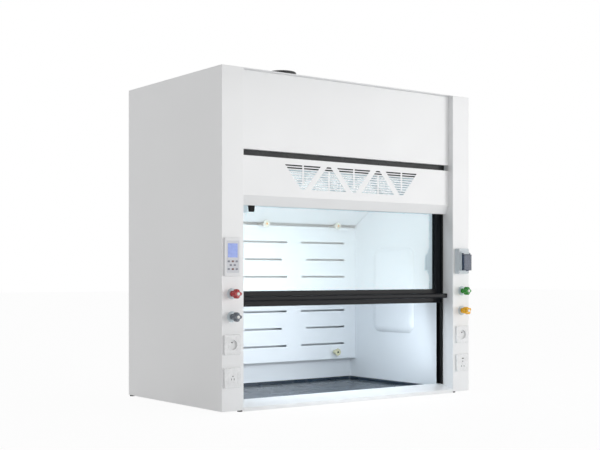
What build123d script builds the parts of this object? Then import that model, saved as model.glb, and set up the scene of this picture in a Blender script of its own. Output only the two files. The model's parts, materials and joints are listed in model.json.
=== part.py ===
from build123d import *
import os

os.makedirs("parts", exist_ok=True)

# Benchtop fume hood, in millimetres.
# X runs to the right, Y from the front to the back, Z up.
# The origin is the middle of the cabinet's footprint, on the bench.

# Cabinet shell
WIDTH = 1500.0
DEPTH = 850.0
HEIGHT = 1506.0             # top of the roof above the bench
SHELL_LIFT = 6.0            # height of the shell's lower edge, on its glides
SHEET = 1.5                 # folded steel
BEND = 2.2                  # outside radius of a fold
PANEL_RETURN = 20.0         # turned-in edge of a side panel
GLIDE_R = 13.0
EDGE_R = 1.5                # soft edges of moulded and machined pieces

# Front posts
POST_W = 113.0
POST_RETURN = 125.0         # depth of the post's inner cheek
POST_HOOK = 22.0            # stiffening fold at the back of the cheek

# Fascia
FASCIA_RECESS = 30.0        # fascia plane behind the post fronts
FASCIA_RETURN = 22.0        # fold behind each fascia edge, up to the black strip
FASCIA_DROP = 599.0         # lowest edge of the lower fascia below the top of the roof
LIP_RISE = 44.0
LIP_INSET = 20.0
LIP_HEM = 20.0
FASCIA_SPLIT = 379.0        # top of the lower fascia below the top of the roof
FASCIA_GAP = 27.0
STRIP_T = 3.0
STRIP_OVERLAP_UP = 16.0     # strip above the gap
STRIP_OVERLAP_DOWN = 47.0   # strip below the gap, behind the top vent rows
STRIP_END_GAP = 12.0

# Vents in the lower fascia: five triangles of slots, tips down and up in turn
VENT_COUNT = 5
VENT_PITCH_X = 151.0
VENT_CENTRE_X = 12.5
VENT_ROWS = 10
VENT_PITCH_Z = 11.5
VENT_SLOT = 6.4
VENT_MARGIN = 31.0          # centre line of the top row below the fascia's top
VENT_WIDE = 200.0
VENT_TIP = 28.0
VENT_RIB = 9.0
VENT_TIP_ROWS = 2           # rows at the tip with no middle rib

# Worktop
WORKTOP_T = 12.0
LIP_H = 15.0                # raised edge above the work surface
LIP_W = 18.0
WORKTOP_CORNER_R = 16.0
WORKTOP_SETBACK = 95.0      # front edge behind the post fronts

# Chamber liner
LINER_T = 6.0
LINER_GAP = 1.0             # liner clear of the post's cheek
BACK_CAVITY = 32.5          # room behind the back liner for the counterweight
CEILING_DROP = 306.0        # ceiling below the top of the roof
CEILING_SETBACK = 111.0     # its front edge behind the post fronts
COVER_W = 320.0
COVER_Z0 = 288.0
COVER_TOP_GAP = 118.0       # cover's top below the top of the lower baffle
COVER_SETBACK = 444.0       # cover's middle behind the post fronts
COVER_R = 45.0
COVER_RISE = 14.0
COVER_TAPER = 66.0

# Baffles
BAFFLE_T = 6.0
BAFFLE_STANDOFF = 39.0      # plenum behind the lower baffle
BAFFLE_SIDE_GAP = 0.3
BAFFLE_Z0 = 132.0
BAFFLE_DROP = 341.0         # top of the lower baffle below the ceiling
BAFFLE_SPLIT = 16.0         # gap between the two baffles
UPPER_BAFFLE_SETBACK = 255.0    # its top edge behind the post fronts
UPPER_BAFFLE_DROP = 10.0    # air slot under the ceiling
CLEAT = 12.0
UPPER_BAFFLE_LEAD = 3.0     # its lower edge ahead of the lower baffle's face
SLOT_H = 10.0
SLOT_LOW_Z = 216.4          # lowest row
SLOT_MARGIN = 87.0          # top row below the baffle's top
SLOT_ROWS = 7
SLOT_END_INSET = 81.0       # end of a row to the side liner
LONG_GAP = 95.0             # between the slots of a long row
SHORT_GAP = 162.0
LONG_SPARE = 1.7            # half the middle slot's extra length, long rows
SHORT_SPARE = -9.0

# Baffle studs and their knobs
STUD_INSET = 149.0          # outer studs to the side liner
STUD_LOW_Z = 170.0
STUD_R = 4.0
SLEEVE_R = 11.0             # spacer, across its corners
SLEEVE_FIT = 0.5            # baffle's hole around a sleeve
STUD_FIT = 0.3              # baffle's hole around a stud
HAND_KNOB_R = 20.5
HAND_KNOB_T = 8.0
HAND_KNOB_HUB = 24.0
HAND_KNOB_LOBES = 8
HAND_KNOB_SIDES = 12        # faces of its hub

# Sash
SASH_REST = 455.0           # lower end of the stiles as the sash stands
SASH_HEADROOM = 160.0       # top of the sash below the top of the roof
SASH_T = 28.0
SASH_SETBACK = 89.0         # middle plane of the sash behind the post fronts
STILE_W = 42.5
STILE_GAP = 7.5             # stile's outer face to the post's cheek
RAIL_H = 64.0
RAIL_LIFT = 6.0             # rail's lower face above the ends of the stiles
TOP_RAIL_H = 40.0
RAIL_WALL = 3.0
GLASS_T = 5.0
GLASS_BITE = 10.0           # glass held in the frame's grooves
GLASS_FIT = 0.3
HANDLE_H = 23.0
HANDLE_T = 15.0
HANDLE_Z = 36.5             # handle's middle above the ends of the stiles
HANDLE_REACH = 62.0         # front of the handle ahead of the sash's middle plane
HANDLE_END_GAP = 12.0
HANDLE_WEB = 7.0
HEEL_T = 18.0               # tongue under the bottom rail
REED_W = 1.6                # drawn lines along the frame
REED_D = 1.0
SASH_UP = 100.0             # travel above this position
SASH_CLOSED_GAP = 1.4       # closed sash above the sill

# Sash tracks
TRACK_T = 2.0
TRACK_FLANGE = 3.0
TRACK_W = 12.0
TRACK_FIT = 1.0

# Sill across the foot of the opening
SILL_T = 2.0
SILL_FRONT_H = 17.0
SILL_CREST = 38.6           # top of the sill, under the sash's back face
SILL_LEAD_DROP = 4.6        # sill's fall from the crest to the front of the tracks
SILL_TAIL_DROP = 0.6        # sill's fall from the crest to its back edge
SILL_DEPTH = 120.0
SILL_FIT = 0.3
SILL_NOTCH = 24.0           # sill cut back over the worktop's side lips
SASH_FOOT_GAP = 1.0         # track above the sill

# Lift gear
PULLEY_R = 22.0             # to the middle of the rope
PULLEY_RIM = 3.0            # rim beyond the middle of the rope
PULLEY_W = 14.0
ROPE_R = 1.5
ROPE_GAP = 0.3
SHAFT_R = 6.0
SHAFT_FIT = 0.05
SHAFT_DROP = 32.0           # shaft axis below the top of the roof
SHAFT_STUB = 2.0            # shaft beyond its bracket
ROPE_INSET = 37.0           # rope to the post's cheek
BRACKET_INSET = 17.0
BRACKET_T = 4.0
BRACKET_W = 34.0
LUG = 10.0
LUG_H = 10.0
WEIGHT_H = 122.0            # gives it the sash's weight
WEIGHT_T = 22.0
WEIGHT_INSET = 31.0         # counterweight's end to the line of the cheek
WEIGHT_DROP = 506.0         # its top below the top of the roof
GUIDE_T = 2.0
GUIDE_FIT = 2.0
GUIDE_LIP = 12.0
GUIDE_SPARE = 25.0          # guides beyond the counterweight's travel

# Exhaust collar
COLLAR_R = 75.0
COLLAR_WALL = 4.0
COLLAR_STEP = 2.0           # duct under the roof is smaller than the collar by this
COLLAR_INSET = 250.0        # collar's axis to the back
COLLAR_RISE = 135.0         # above the roof
COLLAR_RING_W = 18.0
COLLAR_RING_T = 3.0
COLLAR_BEVEL = 3.0
COLLAR_FIT = 0.3

# Lamp over the ceiling
LAMP_L = 940.0
LAMP_W = 120.0
LAMP_H = 60.0
LAMP_SETBACK = 189.0
LAMP_MARGIN = 12.0
LAMP_GLASS_T = 5.0
LAMP_TUBE_R = 13.0

# Fittings on the posts
FITTING_INSET = 51.0        # middle of the valves and sockets from the side
PLATE = 86.0
PLATE_T = 9.0
SOCKET_BODY = 54.0
SOCKET_BODY_D = 18.0
POST_HOLE_FIT = 1.0         # post's cut-outs around what is let into it
ROUND_WELL_R = 21.5
ROUND_WELL_D = 14.0
CONTACT_HOLE = 5.0
CONTACT_DEPTH = 18.0
CONTACT_X = 9.5
EARTH_STUD = 4.4
EARTH_STUD_RISE = 10.0      # earth stud above the middle of the well
SOCKET_UPPER_Z = 294.0
SOCKET_LOWER_Z = 151.0
VALVE_UPPER_Z = 516.0
VALVE_LOWER_Z = 416.0
FLANGE_R = 24.0
FLANGE_T = 5.0
FLANGE_TAPER = 4.0
SPINDLE_HOLE = 14.0
SPINDLE_R = 5.0
SPINDLE_GAP = 0.5           # flange's hole around the spindle
KNOB_GAP = 0.8
KNOB_HUB_R = 13.0
KNOB_HUB_L = 16.0
KNOB_SIDES = 16             # faces of its hub and cap
KNOB_WAIST = 0.62           # narrowest radius of the grip, as a share of its lobes
KNOB_R = 20.5
KNOB_L = 30.0
KNOB_LOBES = 4
KNOB_CAP_R = 7.0
KNOB_CAP_T = 4.0
VALVE_W = 30.0
VALVE_L = 34.0
VALVE_FLOOR = 6.0           # closed end of the valve's bore
SPINDLE_SHY = 2.0           # spindle's end off the floor of the bore
YELLOW_TURN = 30.0          # yellow knob stands turned

# Control panel
PANEL_INSET = 50.0
PANEL_W = 82.0
PANEL_H = 169.0
PANEL_Z = 676.5
PANEL_T = 10.0
PANEL_BOX_W = 60.0
PANEL_BOX_H = 141.0
PANEL_BOX_D = 16.0
FACE_W = 64.0
FACE_H = 140.0
FACE_RECESS = 0.8
LCD_W = 50.0
LCD_H = 61.0
LCD_Z = 27.5                # above the panel's middle
LCD_T = 2.0
LCD_FIT = 0.3
LCD_SHY = 0.4               # display behind the recessed face
KEY_W = 11.0
KEY_H = 8.0
KEY_L = 4.2
KEY_PROUD = 1.4
KEY_FIT = 0.2
KEY_TRAVEL = 1.0
KEY_FLOOR_GAP = 0.4         # left behind a key pressed all the way
KEY_PITCH = 20.5
KEY_ROW_Z = (-20.0, -36.0, -53.5)

# Switch box
SWITCH_INSET = 61.5
SWITCH_Z = 667.0
SWITCH_W = 73.0
SWITCH_H = 128.0
SWITCH_T = 27.0
HOOD_W = 57.0
HOOD_H = 96.0
HOOD_T = 12.0
BOX_CHAMFER = 4.0
BREAKER_DROP = 5.0          # breaker's middle below the box's
BREAKER_W = 36.0
BREAKER_H = 54.0
BREAKER_PROUD = 3.0
BREAKER_D = 30.0
BREAKER_FIT = 0.2
BREAKER_MOUTH = 11.2        # height of the toggle's mouth
TOGGLE_W = 12.0
TOGGLE_L = 10.0
TOGGLE_T = 5.0
TOGGLE_HUB_R = 5.0
TOGGLE_ANGLE = 24.0
TOGGLE_FIT = 0.3
TOGGLE_SET = 0.5            # hub behind the face of the breaker
COVER_LID_W = 55.0
COVER_LID_H = 80.0
COVER_LID_D = 16.0
COVER_LID_T = 2.0
LID_DROP = 7.0              # lid's middle below the box's
LID_GAP = 0.6               # lid off the face of the hood
TAB_W = 18.0
TAB_H = 4.0
HINGE_R = 3.2
HINGE_PIN_R = 1.6
HINGE_EAR = 8.0
HINGE_GAP = 0.4
HINGE_RISE = 1.0            # barrel above the lid
HINGE_ARM_T = 4.7

# Rubber stop under the lip
STOP_INSET = 82.0           # from the left post's cheek
STOP_TOP_W = 29.0
STOP_FOOT_W = 22.0
STOP_H = 28.0
STOP_T = 15.0

# Places worked out from the sizes above
FRONT = -DEPTH / 2
BACK = DEPTH / 2
SIDE = WIDTH / 2
ROOF_UNDER = HEIGHT - SHEET
CHEEK_X = SIDE - POST_W
FASCIA_Y = FRONT + FASCIA_RECESS
LIP_Z = HEIGHT - FASCIA_DROP
LOWER_FASCIA_TOP = HEIGHT - FASCIA_SPLIT
VENT_TOP_Z = LOWER_FASCIA_TOP - VENT_MARGIN
CEILING_Z = HEIGHT - CEILING_DROP
CEILING_FRONT = FRONT + CEILING_SETBACK
WORKTOP_FRONT = FRONT + WORKTOP_SETBACK
SILL_BACK = FRONT + SILL_DEPTH
SASH_Y = FRONT + SASH_SETBACK
LAMP_Y = FRONT + LAMP_SETBACK
COLLAR_Y = BACK - COLLAR_INSET
UPPER_BAFFLE_FRONT = FRONT + UPPER_BAFFLE_SETBACK
ROPE_X = CHEEK_X - ROPE_INSET
BRACKET_X = CHEEK_X - BRACKET_INSET
WEIGHT_HALF = CHEEK_X - WEIGHT_INSET
WEIGHT_TOP = HEIGHT - WEIGHT_DROP
FITTING_X = SIDE - FITTING_INSET
PANEL_X = SIDE - PANEL_INSET
SWITCH_X = SIDE - SWITCH_INSET
STOP_X = STOP_INSET - CHEEK_X
STRIP_Y = FASCIA_Y + FASCIA_RETURN
UPPER_FASCIA_Z = LOWER_FASCIA_TOP + FASCIA_GAP
LINER_OUT = CHEEK_X - LINER_GAP
LINER_IN = LINER_OUT - LINER_T
LINER_BACK = BACK - SHEET - BACK_CAVITY
CHAMBER_BACK = LINER_BACK - LINER_T
WORKTOP_TOP = WORKTOP_T + LIP_H
BAFFLE_BACK = CHAMBER_BACK - BAFFLE_STANDOFF
BAFFLE_FACE = BAFFLE_BACK - BAFFLE_T
BAFFLE_Z1 = CEILING_Z - BAFFLE_DROP
SIDE_SLOT_END = LINER_IN - SLOT_END_INSET
SLOT_TOP_Z = BAFFLE_Z1 - SLOT_MARGIN
SLOT_PITCH_Z = (SLOT_TOP_Z - SLOT_LOW_Z) / (SLOT_ROWS - 1)
COVER_Y = FRONT + COVER_SETBACK
COVER_H = BAFFLE_Z1 - COVER_TOP_GAP - COVER_Z0
STUD_X = LINER_IN - STUD_INSET
STUD_TOP_Z = BAFFLE_Z1 + BAFFLE_SPLIT / 2
STILE_OUT = CHEEK_X - STILE_GAP
STILE_IN = STILE_OUT - STILE_W
SASH_FRONT = SASH_Y - SASH_T / 2
SASH_BACK = SASH_Y + SASH_T / 2
SASH_TOP = HEIGHT - SASH_HEADROOM
RAIL_Z0 = SASH_REST + RAIL_LIFT
HANDLE_FRONT = SASH_Y - HANDLE_REACH
TRACK_Y0 = SASH_FRONT - TRACK_FIT - TRACK_FLANGE
TRACK_Y1 = SASH_BACK + TRACK_FIT + TRACK_FLANGE
TRACK_Z0 = SILL_CREST + SASH_FOOT_GAP
SASH_DOWN = SASH_REST - SILL_CREST - SASH_CLOSED_GAP
SHAFT_Z = HEIGHT - SHAFT_DROP
FRONT_SHAFT_Y = SASH_Y + PULLEY_R
WEIGHT_Y = (LINER_BACK + BACK - SHEET) / 2
REAR_SHAFT_Y = WEIGHT_Y - PULLEY_R
DUCT_R = COLLAR_R - COLLAR_STEP
GUIDE_Z0 = WEIGHT_TOP - WEIGHT_H - SASH_UP - GUIDE_SPARE
GUIDE_Z1 = WEIGHT_TOP + SASH_DOWN + GUIDE_SPARE
GROOVE_HALF = GLASS_T / 2 + GLASS_FIT
HOOD_FACE = FRONT - SWITCH_T - HOOD_T
BREAKER_FACE = HOOD_FACE - BREAKER_PROUD
BREAKER_Z = SWITCH_Z - BREAKER_DROP
LID_Z = SWITCH_Z - LID_DROP
HINGE_Y = HOOD_FACE - HINGE_R - LID_GAP
HINGE_Z = LID_Z + COVER_LID_H / 2 + HINGE_R + HINGE_RISE
TOGGLE_Y = BREAKER_FACE + TOGGLE_HUB_R + TOGGLE_SET
PANEL_FRONT = FRONT - PANEL_T
PANEL_FACE = PANEL_FRONT + FACE_RECESS
KEY_FRONT = PANEL_FACE - KEY_PROUD
VALVE_BACK = FRONT + SHEET + VALVE_L


def block(x0, x1, y0, y1, z0, z1):
    """A box between two corners."""
    size = Box(x1 - x0, y1 - y0, z1 - z0)
    return Pos((x0 + x1) / 2, (y0 + y1) / 2, (z0 + z1) / 2) * size


def rod(axis, a, b, r, **at):
    """A round bar along one axis from a to b, with its centre at the named coordinates."""
    bar = Cylinder(r, abs(b - a))
    mid = (a + b) / 2
    if axis == "x":
        return Pos(mid, at["y"], at["z"]) * Rot(0, 90, 0) * bar
    if axis == "y":
        return Pos(at["x"], mid, at["z"]) * Rot(90, 0, 0) * bar
    return Pos(at["x"], at["y"], mid) * bar


def mirrored(shape):
    """The same piece on the other side of the cabinet."""
    return mirror(shape, about=Plane.YZ)


def save(name, *shapes):
    """Write one node from all the solids of the given shapes."""
    solids = []
    for shape in shapes:
        solids.extend(shape.solids())
    whole = solids[0] if len(solids) == 1 else Compound(solids)
    export_step(whole, f"parts/{name}.step")


def section_yz(face, x0, x1):
    """Extrude a section drawn as (y, z) from x0 to x1."""
    placed = Pos(x0, 0, 0) * (Plane.YZ * face)
    return extrude(placed, amount=x1 - x0, dir=(1, 0, 0))


def section_xz(face, y0, y1):
    """Extrude a section drawn as (x, z) from y0 to y1."""
    front = Plane(origin=(0, y0, 0), x_dir=(1, 0, 0), z_dir=(0, -1, 0))
    return extrude(front * face, amount=y1 - y0, dir=(0, 1, 0))


def polygon(*points):
    return make_face(Polyline(*points, close=True))


def rounded(width, height, radius):
    return RectangleRounded(width, height, radius)


def prism(sides, axis, a, b, r, **at):
    """A regular bar with the given number of sides, r across its corners, along Y or Z."""
    face = RegularPolygon(r, sides)
    if axis == "y":
        plane = Plane(origin=(at["x"], a, at["z"]), x_dir=(1, 0, 0), z_dir=(0, -1, 0))
        return extrude(plane * face, amount=b - a, dir=(0, 1, 0))
    return extrude(Pos(at["x"], at["y"], a) * face, amount=b - a)


def star(lobes, outer, waist, turn=0):
    """Outline of a grip: straight-sided lobes of the given outer radius, narrow at the waist."""
    points = []
    for k in range(lobes):
        for share, radius in ((0.3, outer), (-0.3, outer), (-0.5, waist)):
            tip = Vector(radius, 0).rotate(Axis.Z, turn + 360 / lobes * (k - share))
            points.append((tip.X, tip.Y))
    return polygon(*points)


def bevelled(plate, across):
    """Take the sharpness off the front edges of a moulded plate that faces forward."""
    return chamfer(plate.faces().sort_by(Axis.Y)[0].outer_wire().edges(), across)


def folded(points, thick=SHEET, bend=BEND):
    """Section of a folded sheet. The points are its outer face, and it lies to their left."""
    path = [Vector(*p) for p in points]
    steps = [(b - a).normalized() for a, b in zip(path, path[1:])]
    normals = [Vector(-s.Y, s.X) for s in steps]
    inner = [path[0] + normals[0] * thick]
    outer_r = []
    inner_r = []
    for corner, before, after in zip(path[1:-1], normals, normals[1:]):
        miter = before + after
        inner.append(corner + miter * (thick / miter.dot(after)))
        left_turn = before.cross(after).Z > 0
        outer_r.append(bend if left_turn else bend - thick)
        inner_r.append(bend - thick if left_turn else bend)
    inner.append(path[-1] + normals[-1] * thick)
    near = FilletPolyline(*path, radius=outer_r)
    far = FilletPolyline(*inner, radius=inner_r)
    ends = [Line(path[0], inner[0]), Line(path[-1], inner[-1])]
    return make_face([*near.edges(), *far.edges(), *ends])


# Cabinet shell

def side_panel():
    """Right side panel: a sheet with its four edges turned in."""
    y0 = FRONT + SHEET
    tray = block(SIDE - PANEL_RETURN, SIDE, y0, BACK, SHELL_LIFT, ROOF_UNDER)
    room = block(
        SIDE - 2 * PANEL_RETURN, SIDE - SHEET,
        y0 + SHEET, BACK - SHEET,
        SHELL_LIFT + SHEET, ROOF_UNDER - SHEET,
    )
    return tray - room


def guide_channel():
    """Right guide of the counterweight: a channel on the back panel, open to the middle."""
    web_x = WEIGHT_HALF + GUIDE_FIT
    y1 = BACK - 2 * SHEET
    y0 = WEIGHT_Y - WEIGHT_T / 2 - GUIDE_FIT - GUIDE_T
    channel = block(web_x - GUIDE_LIP, web_x + GUIDE_T, y0, y1, GUIDE_Z0, GUIDE_Z1)
    room = block(
        web_x - 2 * GUIDE_LIP, web_x,
        y0 + GUIDE_T, WEIGHT_Y + WEIGHT_T / 2 + GUIDE_FIT - GUIDE_T / 2,
        GUIDE_Z0 - 1, GUIDE_Z1 + 1,
    )
    return channel - room


def back_panel():
    half = SIDE - SHEET
    plate = block(-half, half, BACK - 2 * SHEET, BACK - SHEET, SHELL_LIFT, ROOF_UNDER)
    plate = plate - [side_panel(), mirrored(side_panel())]
    guide = guide_channel()
    return plate + guide + mirrored(guide)


def roof_panel():
    plate = block(-SIDE, SIDE, FRONT, BACK, ROOF_UNDER, HEIGHT)
    hole = rod("z", ROOF_UNDER - 1, HEIGHT + 1, DUCT_R + COLLAR_FIT, x=0, y=COLLAR_Y)
    return plate - hole


def post():
    """Right post, with its foot plate and without its cut-outs."""
    outline = folded([
        (CHEEK_X + POST_HOOK, FRONT + POST_RETURN),
        (CHEEK_X, FRONT + POST_RETURN),
        (CHEEK_X, FRONT),
        (SIDE, FRONT),
    ])
    web = extrude(Pos(0, 0, SHELL_LIFT) * outline, amount=ROOF_UNDER - SHELL_LIFT, dir=(0, 0, 1))
    foot = block(CHEEK_X + SHEET, SIDE - PANEL_RETURN, FRONT + SHEET, FRONT + POST_RETURN - SHEET,
                 SHELL_LIFT, SHELL_LIFT + SHEET)
    return web + foot


def through_post(x, z, width, height):
    return block(x - width / 2, x + width / 2, FRONT - 1, FRONT + SHEET + 1, z - height / 2, z + height / 2)


def service_holes(x):
    """Cut-outs for the two spindles and the two socket bodies."""
    side = SOCKET_BODY + 2 * POST_HOLE_FIT
    spindles = [through_post(x, z, SPINDLE_HOLE, SPINDLE_HOLE) for z in (VALVE_UPPER_Z, VALVE_LOWER_Z)]
    sockets = [through_post(x, z, side, side) for z in (SOCKET_UPPER_Z, SOCKET_LOWER_Z)]
    return spindles + sockets


def posts():
    plain = post()
    gap = 2 * POST_HOLE_FIT
    panel_hole = through_post(-PANEL_X, PANEL_Z, PANEL_BOX_W + gap, PANEL_BOX_H + gap)
    wire_hole = through_post(SWITCH_X, SWITCH_Z, SPINDLE_HOLE, SPINDLE_HOLE)
    left = mirrored(plain) - [panel_hole, *service_holes(-FITTING_X)]
    right = plain - [wire_hole, *service_holes(FITTING_X)]
    return left, right


def glides():
    """Six-sided feet: two under the posts and two under the side panels."""
    feet = []
    for y in (FRONT + GLIDE_R, BACK - GLIDE_R):
        x = CHEEK_X + GLIDE_R - 1 if y < 0 else SIDE - GLIDE_R
        foot = prism(6, "z", 0, SHELL_LIFT, GLIDE_R, x=x, y=y)
        feet.extend([foot, mirrored(foot)])
    return feet


# Fascia

def upper_fascia():
    outline = folded([
        (STRIP_Y, ROOF_UNDER),
        (FASCIA_Y, ROOF_UNDER),
        (FASCIA_Y, UPPER_FASCIA_Z),
        (STRIP_Y, UPPER_FASCIA_Z),
    ])
    return section_yz(outline, -CHEEK_X, CHEEK_X)


def vent_half_width(z, tip_down):
    """Half the width of a vent triangle at height z."""
    run = (VENT_ROWS - 1) * VENT_PITCH_Z
    share = (VENT_TOP_Z - z) / run
    if not tip_down:
        share = 1 - share
    return (VENT_WIDE - (VENT_WIDE - VENT_TIP) * share) / 2


def vent_slots():
    """Cutters for the slots: slanted ends, and a rib down the middle of the wider rows."""
    cutters = []
    for column in range(VENT_COUNT):
        x = VENT_CENTRE_X + (column - (VENT_COUNT - 1) / 2) * VENT_PITCH_X
        tip_down = column % 2 == 0
        for row in range(VENT_ROWS):
            z = VENT_TOP_Z - row * VENT_PITCH_Z
            low = z - VENT_SLOT / 2
            high = z + VENT_SLOT / 2
            wide_low = vent_half_width(low, tip_down)
            wide_high = vent_half_width(high, tip_down)
            from_tip = VENT_ROWS - 1 - row if tip_down else row
            if from_tip < VENT_TIP_ROWS:
                corners = [[(-wide_low, low), (wide_low, low), (wide_high, high), (-wide_high, high)]]
            else:
                rib = VENT_RIB / 2
                corners = [
                    [(side * rib, low), (side * wide_low, low), (side * wide_high, high), (side * rib, high)]
                    for side in (-1, 1)
                ]
            for outline in corners:
                face = polygon(*[(x + dx, dz) for dx, dz in outline])
                cutters.append(section_xz(face, FASCIA_Y - 1, FASCIA_Y + SHEET + 1))
    return cutters


def lower_fascia():
    outline = folded([
        (STRIP_Y, LOWER_FASCIA_TOP),
        (FASCIA_Y, LOWER_FASCIA_TOP),
        (FASCIA_Y, LIP_Z + LIP_RISE),
        (FASCIA_Y + LIP_INSET, LIP_Z),
        (FASCIA_Y + LIP_INSET + LIP_HEM, LIP_Z),
    ])
    return section_yz(outline, -CHEEK_X, CHEEK_X) - vent_slots()


def fascia_strip():
    half = CHEEK_X - STRIP_END_GAP
    z0 = LOWER_FASCIA_TOP - STRIP_OVERLAP_DOWN
    z1 = UPPER_FASCIA_Z + STRIP_OVERLAP_UP
    return block(-half, half, STRIP_Y, STRIP_Y + STRIP_T, z0, z1)


def sash_stop():
    """Tapered rubber buffer that hangs from the hem of the lip."""
    y = FASCIA_Y + LIP_INSET + LIP_HEM / 2 + 1
    top = STOP_TOP_W / 2
    foot = STOP_FOOT_W / 2
    z0 = LIP_Z - STOP_H
    outline = polygon((STOP_X - foot, z0), (STOP_X + foot, z0), (STOP_X + top, LIP_Z), (STOP_X - top, LIP_Z))
    return section_xz(outline, y - STOP_T / 2, y + STOP_T / 2)


# Sill, worktop and liner

def sill():
    outline = folded([
        (SILL_BACK, WORKTOP_T),
        (SILL_BACK, SILL_CREST - SILL_TAIL_DROP),
        (TRACK_Y1, SILL_CREST),
        (TRACK_Y0, SILL_CREST - SILL_LEAD_DROP),
        (FRONT, SILL_FRONT_H),
        (FRONT, 0),
    ], thick=SILL_T, bend=1.3 * SILL_T)
    notch = block(LINER_OUT - SILL_NOTCH, CHEEK_X + 1, WORKTOP_FRONT, SILL_BACK + 1,
                  0, WORKTOP_TOP + SILL_FIT)
    return section_yz(outline, -CHEEK_X, CHEEK_X) - [notch, mirrored(notch)]


def worktop():
    """Glazed slab with a raised lip on all four sides."""
    slab = block(-LINER_OUT, LINER_OUT, WORKTOP_FRONT, LINER_BACK, 0, WORKTOP_TOP)
    width = 2 * (LINER_OUT - LIP_W)
    length = LINER_BACK - WORKTOP_FRONT - 2 * LIP_W
    middle = (LINER_BACK + WORKTOP_FRONT) / 2
    well = extrude(Pos(0, middle, WORKTOP_T) * rounded(width, length, WORKTOP_CORNER_R), amount=LIP_H)
    dished = slab - well
    rim = dished.faces().filter_by(Axis.Z).group_by(Axis.Z)[-1].edges()
    inner_rim = [e for e in rim if abs(e.center().X) < LINER_OUT - LIP_W / 2
                 and WORKTOP_FRONT + LIP_W / 2 < e.center().Y < LINER_BACK - LIP_W / 2]
    return chamfer(inner_rim, 2 * EDGE_R)


def upper_baffle_line():
    """The lower face of the slanted baffle, from its lower edge to its top edge."""
    lower = Vector(BAFFLE_FACE - UPPER_BAFFLE_LEAD, BAFFLE_Z1 + BAFFLE_SPLIT)
    upper = Vector(UPPER_BAFFLE_FRONT, CEILING_Z - UPPER_BAFFLE_DROP)
    return lower, upper


def slanted_strip(start, thick):
    """Section of a strip that lies above the slanted line, from start to start + thick off it."""
    lower, upper = upper_baffle_line()
    step = (upper - lower).normalized()
    off = Vector(step.Y, -step.X)
    points = [lower + off * start, upper + off * start, upper + off * (start + thick),
              lower + off * (start + thick)]
    return polygon(*[(p.X, p.Y) for p in points])


def side_liner():
    """Right liner wall, with the welded cleat that carries the slanted baffle."""
    wall = block(LINER_IN, LINER_OUT, TRACK_Y1, CHAMBER_BACK, WORKTOP_TOP, CEILING_Z)
    notch = block(LINER_IN - 1, LINER_OUT + 1, TRACK_Y1 - 1, SILL_BACK + SILL_FIT,
                  WORKTOP_TOP - 1, SILL_CREST + SILL_FIT)
    cleat = section_yz(slanted_strip(BAFFLE_T, CLEAT), LINER_IN - CLEAT, LINER_IN)
    room = block(LINER_IN - 2 * CLEAT, LINER_IN + 1, -DEPTH, CHAMBER_BACK, CEILING_Z, CEILING_Z + 2 * CLEAT)
    return wall - notch + (cleat - room)


def back_liner():
    return block(-LINER_OUT, LINER_OUT, CHAMBER_BACK, LINER_BACK, WORKTOP_TOP, CEILING_Z)


def ceiling():
    plate = block(-LINER_OUT, LINER_OUT, CEILING_FRONT, LINER_BACK, CEILING_Z, CEILING_Z + LINER_T)
    duct = rod("z", CEILING_Z - 1, CEILING_Z + LINER_T + 1, COLLAR_R - COLLAR_WALL, x=0, y=COLLAR_Y)
    half_l = LAMP_L / 2 - 2 * LAMP_MARGIN
    half_w = LAMP_W / 2 - 2 * LAMP_MARGIN
    window = block(-half_l, half_l, LAMP_Y - half_w, LAMP_Y + half_w, CEILING_Z - 1, CEILING_Z + LINER_T + 1)
    return plate - [duct, window]


def access_cover():
    """Right access cover: a raised panel with a broad bevel."""
    base = Plane(origin=(LINER_IN, COVER_Y, COVER_Z0 + COVER_H / 2), x_dir=(0, 1, 0), z_dir=(-1, 0, 0))
    return extrude(base * rounded(COVER_W, COVER_H, COVER_R), amount=COVER_RISE, taper=COVER_TAPER)


# Baffles

def baffle_slot(x0, x1, z):
    return block(x0, x1, BAFFLE_FACE - 1, BAFFLE_BACK + 1, z - SLOT_H / 2, z + SLOT_H / 2)


def baffle_slots():
    """Three columns of slots, long and short rows in turn."""
    cutters = []
    for row in range(SLOT_ROWS):
        z = SLOT_TOP_Z - row * SLOT_PITCH_Z
        gap, spare = (LONG_GAP, LONG_SPARE) if row % 2 == 0 else (SHORT_GAP, SHORT_SPARE)
        middle = (SIDE_SLOT_END - gap) / 3 + spare
        start = middle + gap
        cutters.append(baffle_slot(-middle, middle, z))
        cutters.append(baffle_slot(start, SIDE_SLOT_END, z))
        cutters.append(baffle_slot(-SIDE_SLOT_END, -start, z))
    return cutters


def stud_places():
    """(x, z) of the studs: three in the split between the baffles, two near the foot."""
    top = [(x, STUD_TOP_Z) for x in (-STUD_X, 0, STUD_X)]
    return top + [(x, STUD_LOW_Z) for x in (-STUD_X, STUD_X)]


def stud_clearances():
    """Notches in both baffles for the upper spacers."""
    near = BAFFLE_FACE - 2 * HAND_KNOB_HUB
    far = BAFFLE_BACK + 2 * BAFFLE_T
    half = SLEEVE_R + SLEEVE_FIT
    return [block(x - half, x + half, near, far, z - half, z + half)
            for x, z in stud_places() if z == STUD_TOP_Z]


def lower_baffle():
    half = LINER_IN - BAFFLE_SIDE_GAP
    plate = block(-half, half, BAFFLE_FACE, BAFFLE_BACK, BAFFLE_Z0, BAFFLE_Z1)
    half = STUD_R + STUD_FIT
    holes = [block(x - half, x + half, BAFFLE_FACE - 1, BAFFLE_BACK + 1, z - half, z + half)
             for x, z in stud_places() if z == STUD_LOW_Z]
    return plate - [*baffle_slots(), *holes, *stud_clearances()]


def upper_baffle():
    half = LINER_IN - BAFFLE_SIDE_GAP
    return section_yz(slanted_strip(0, BAFFLE_T), -half, half) - stud_clearances()


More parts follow.
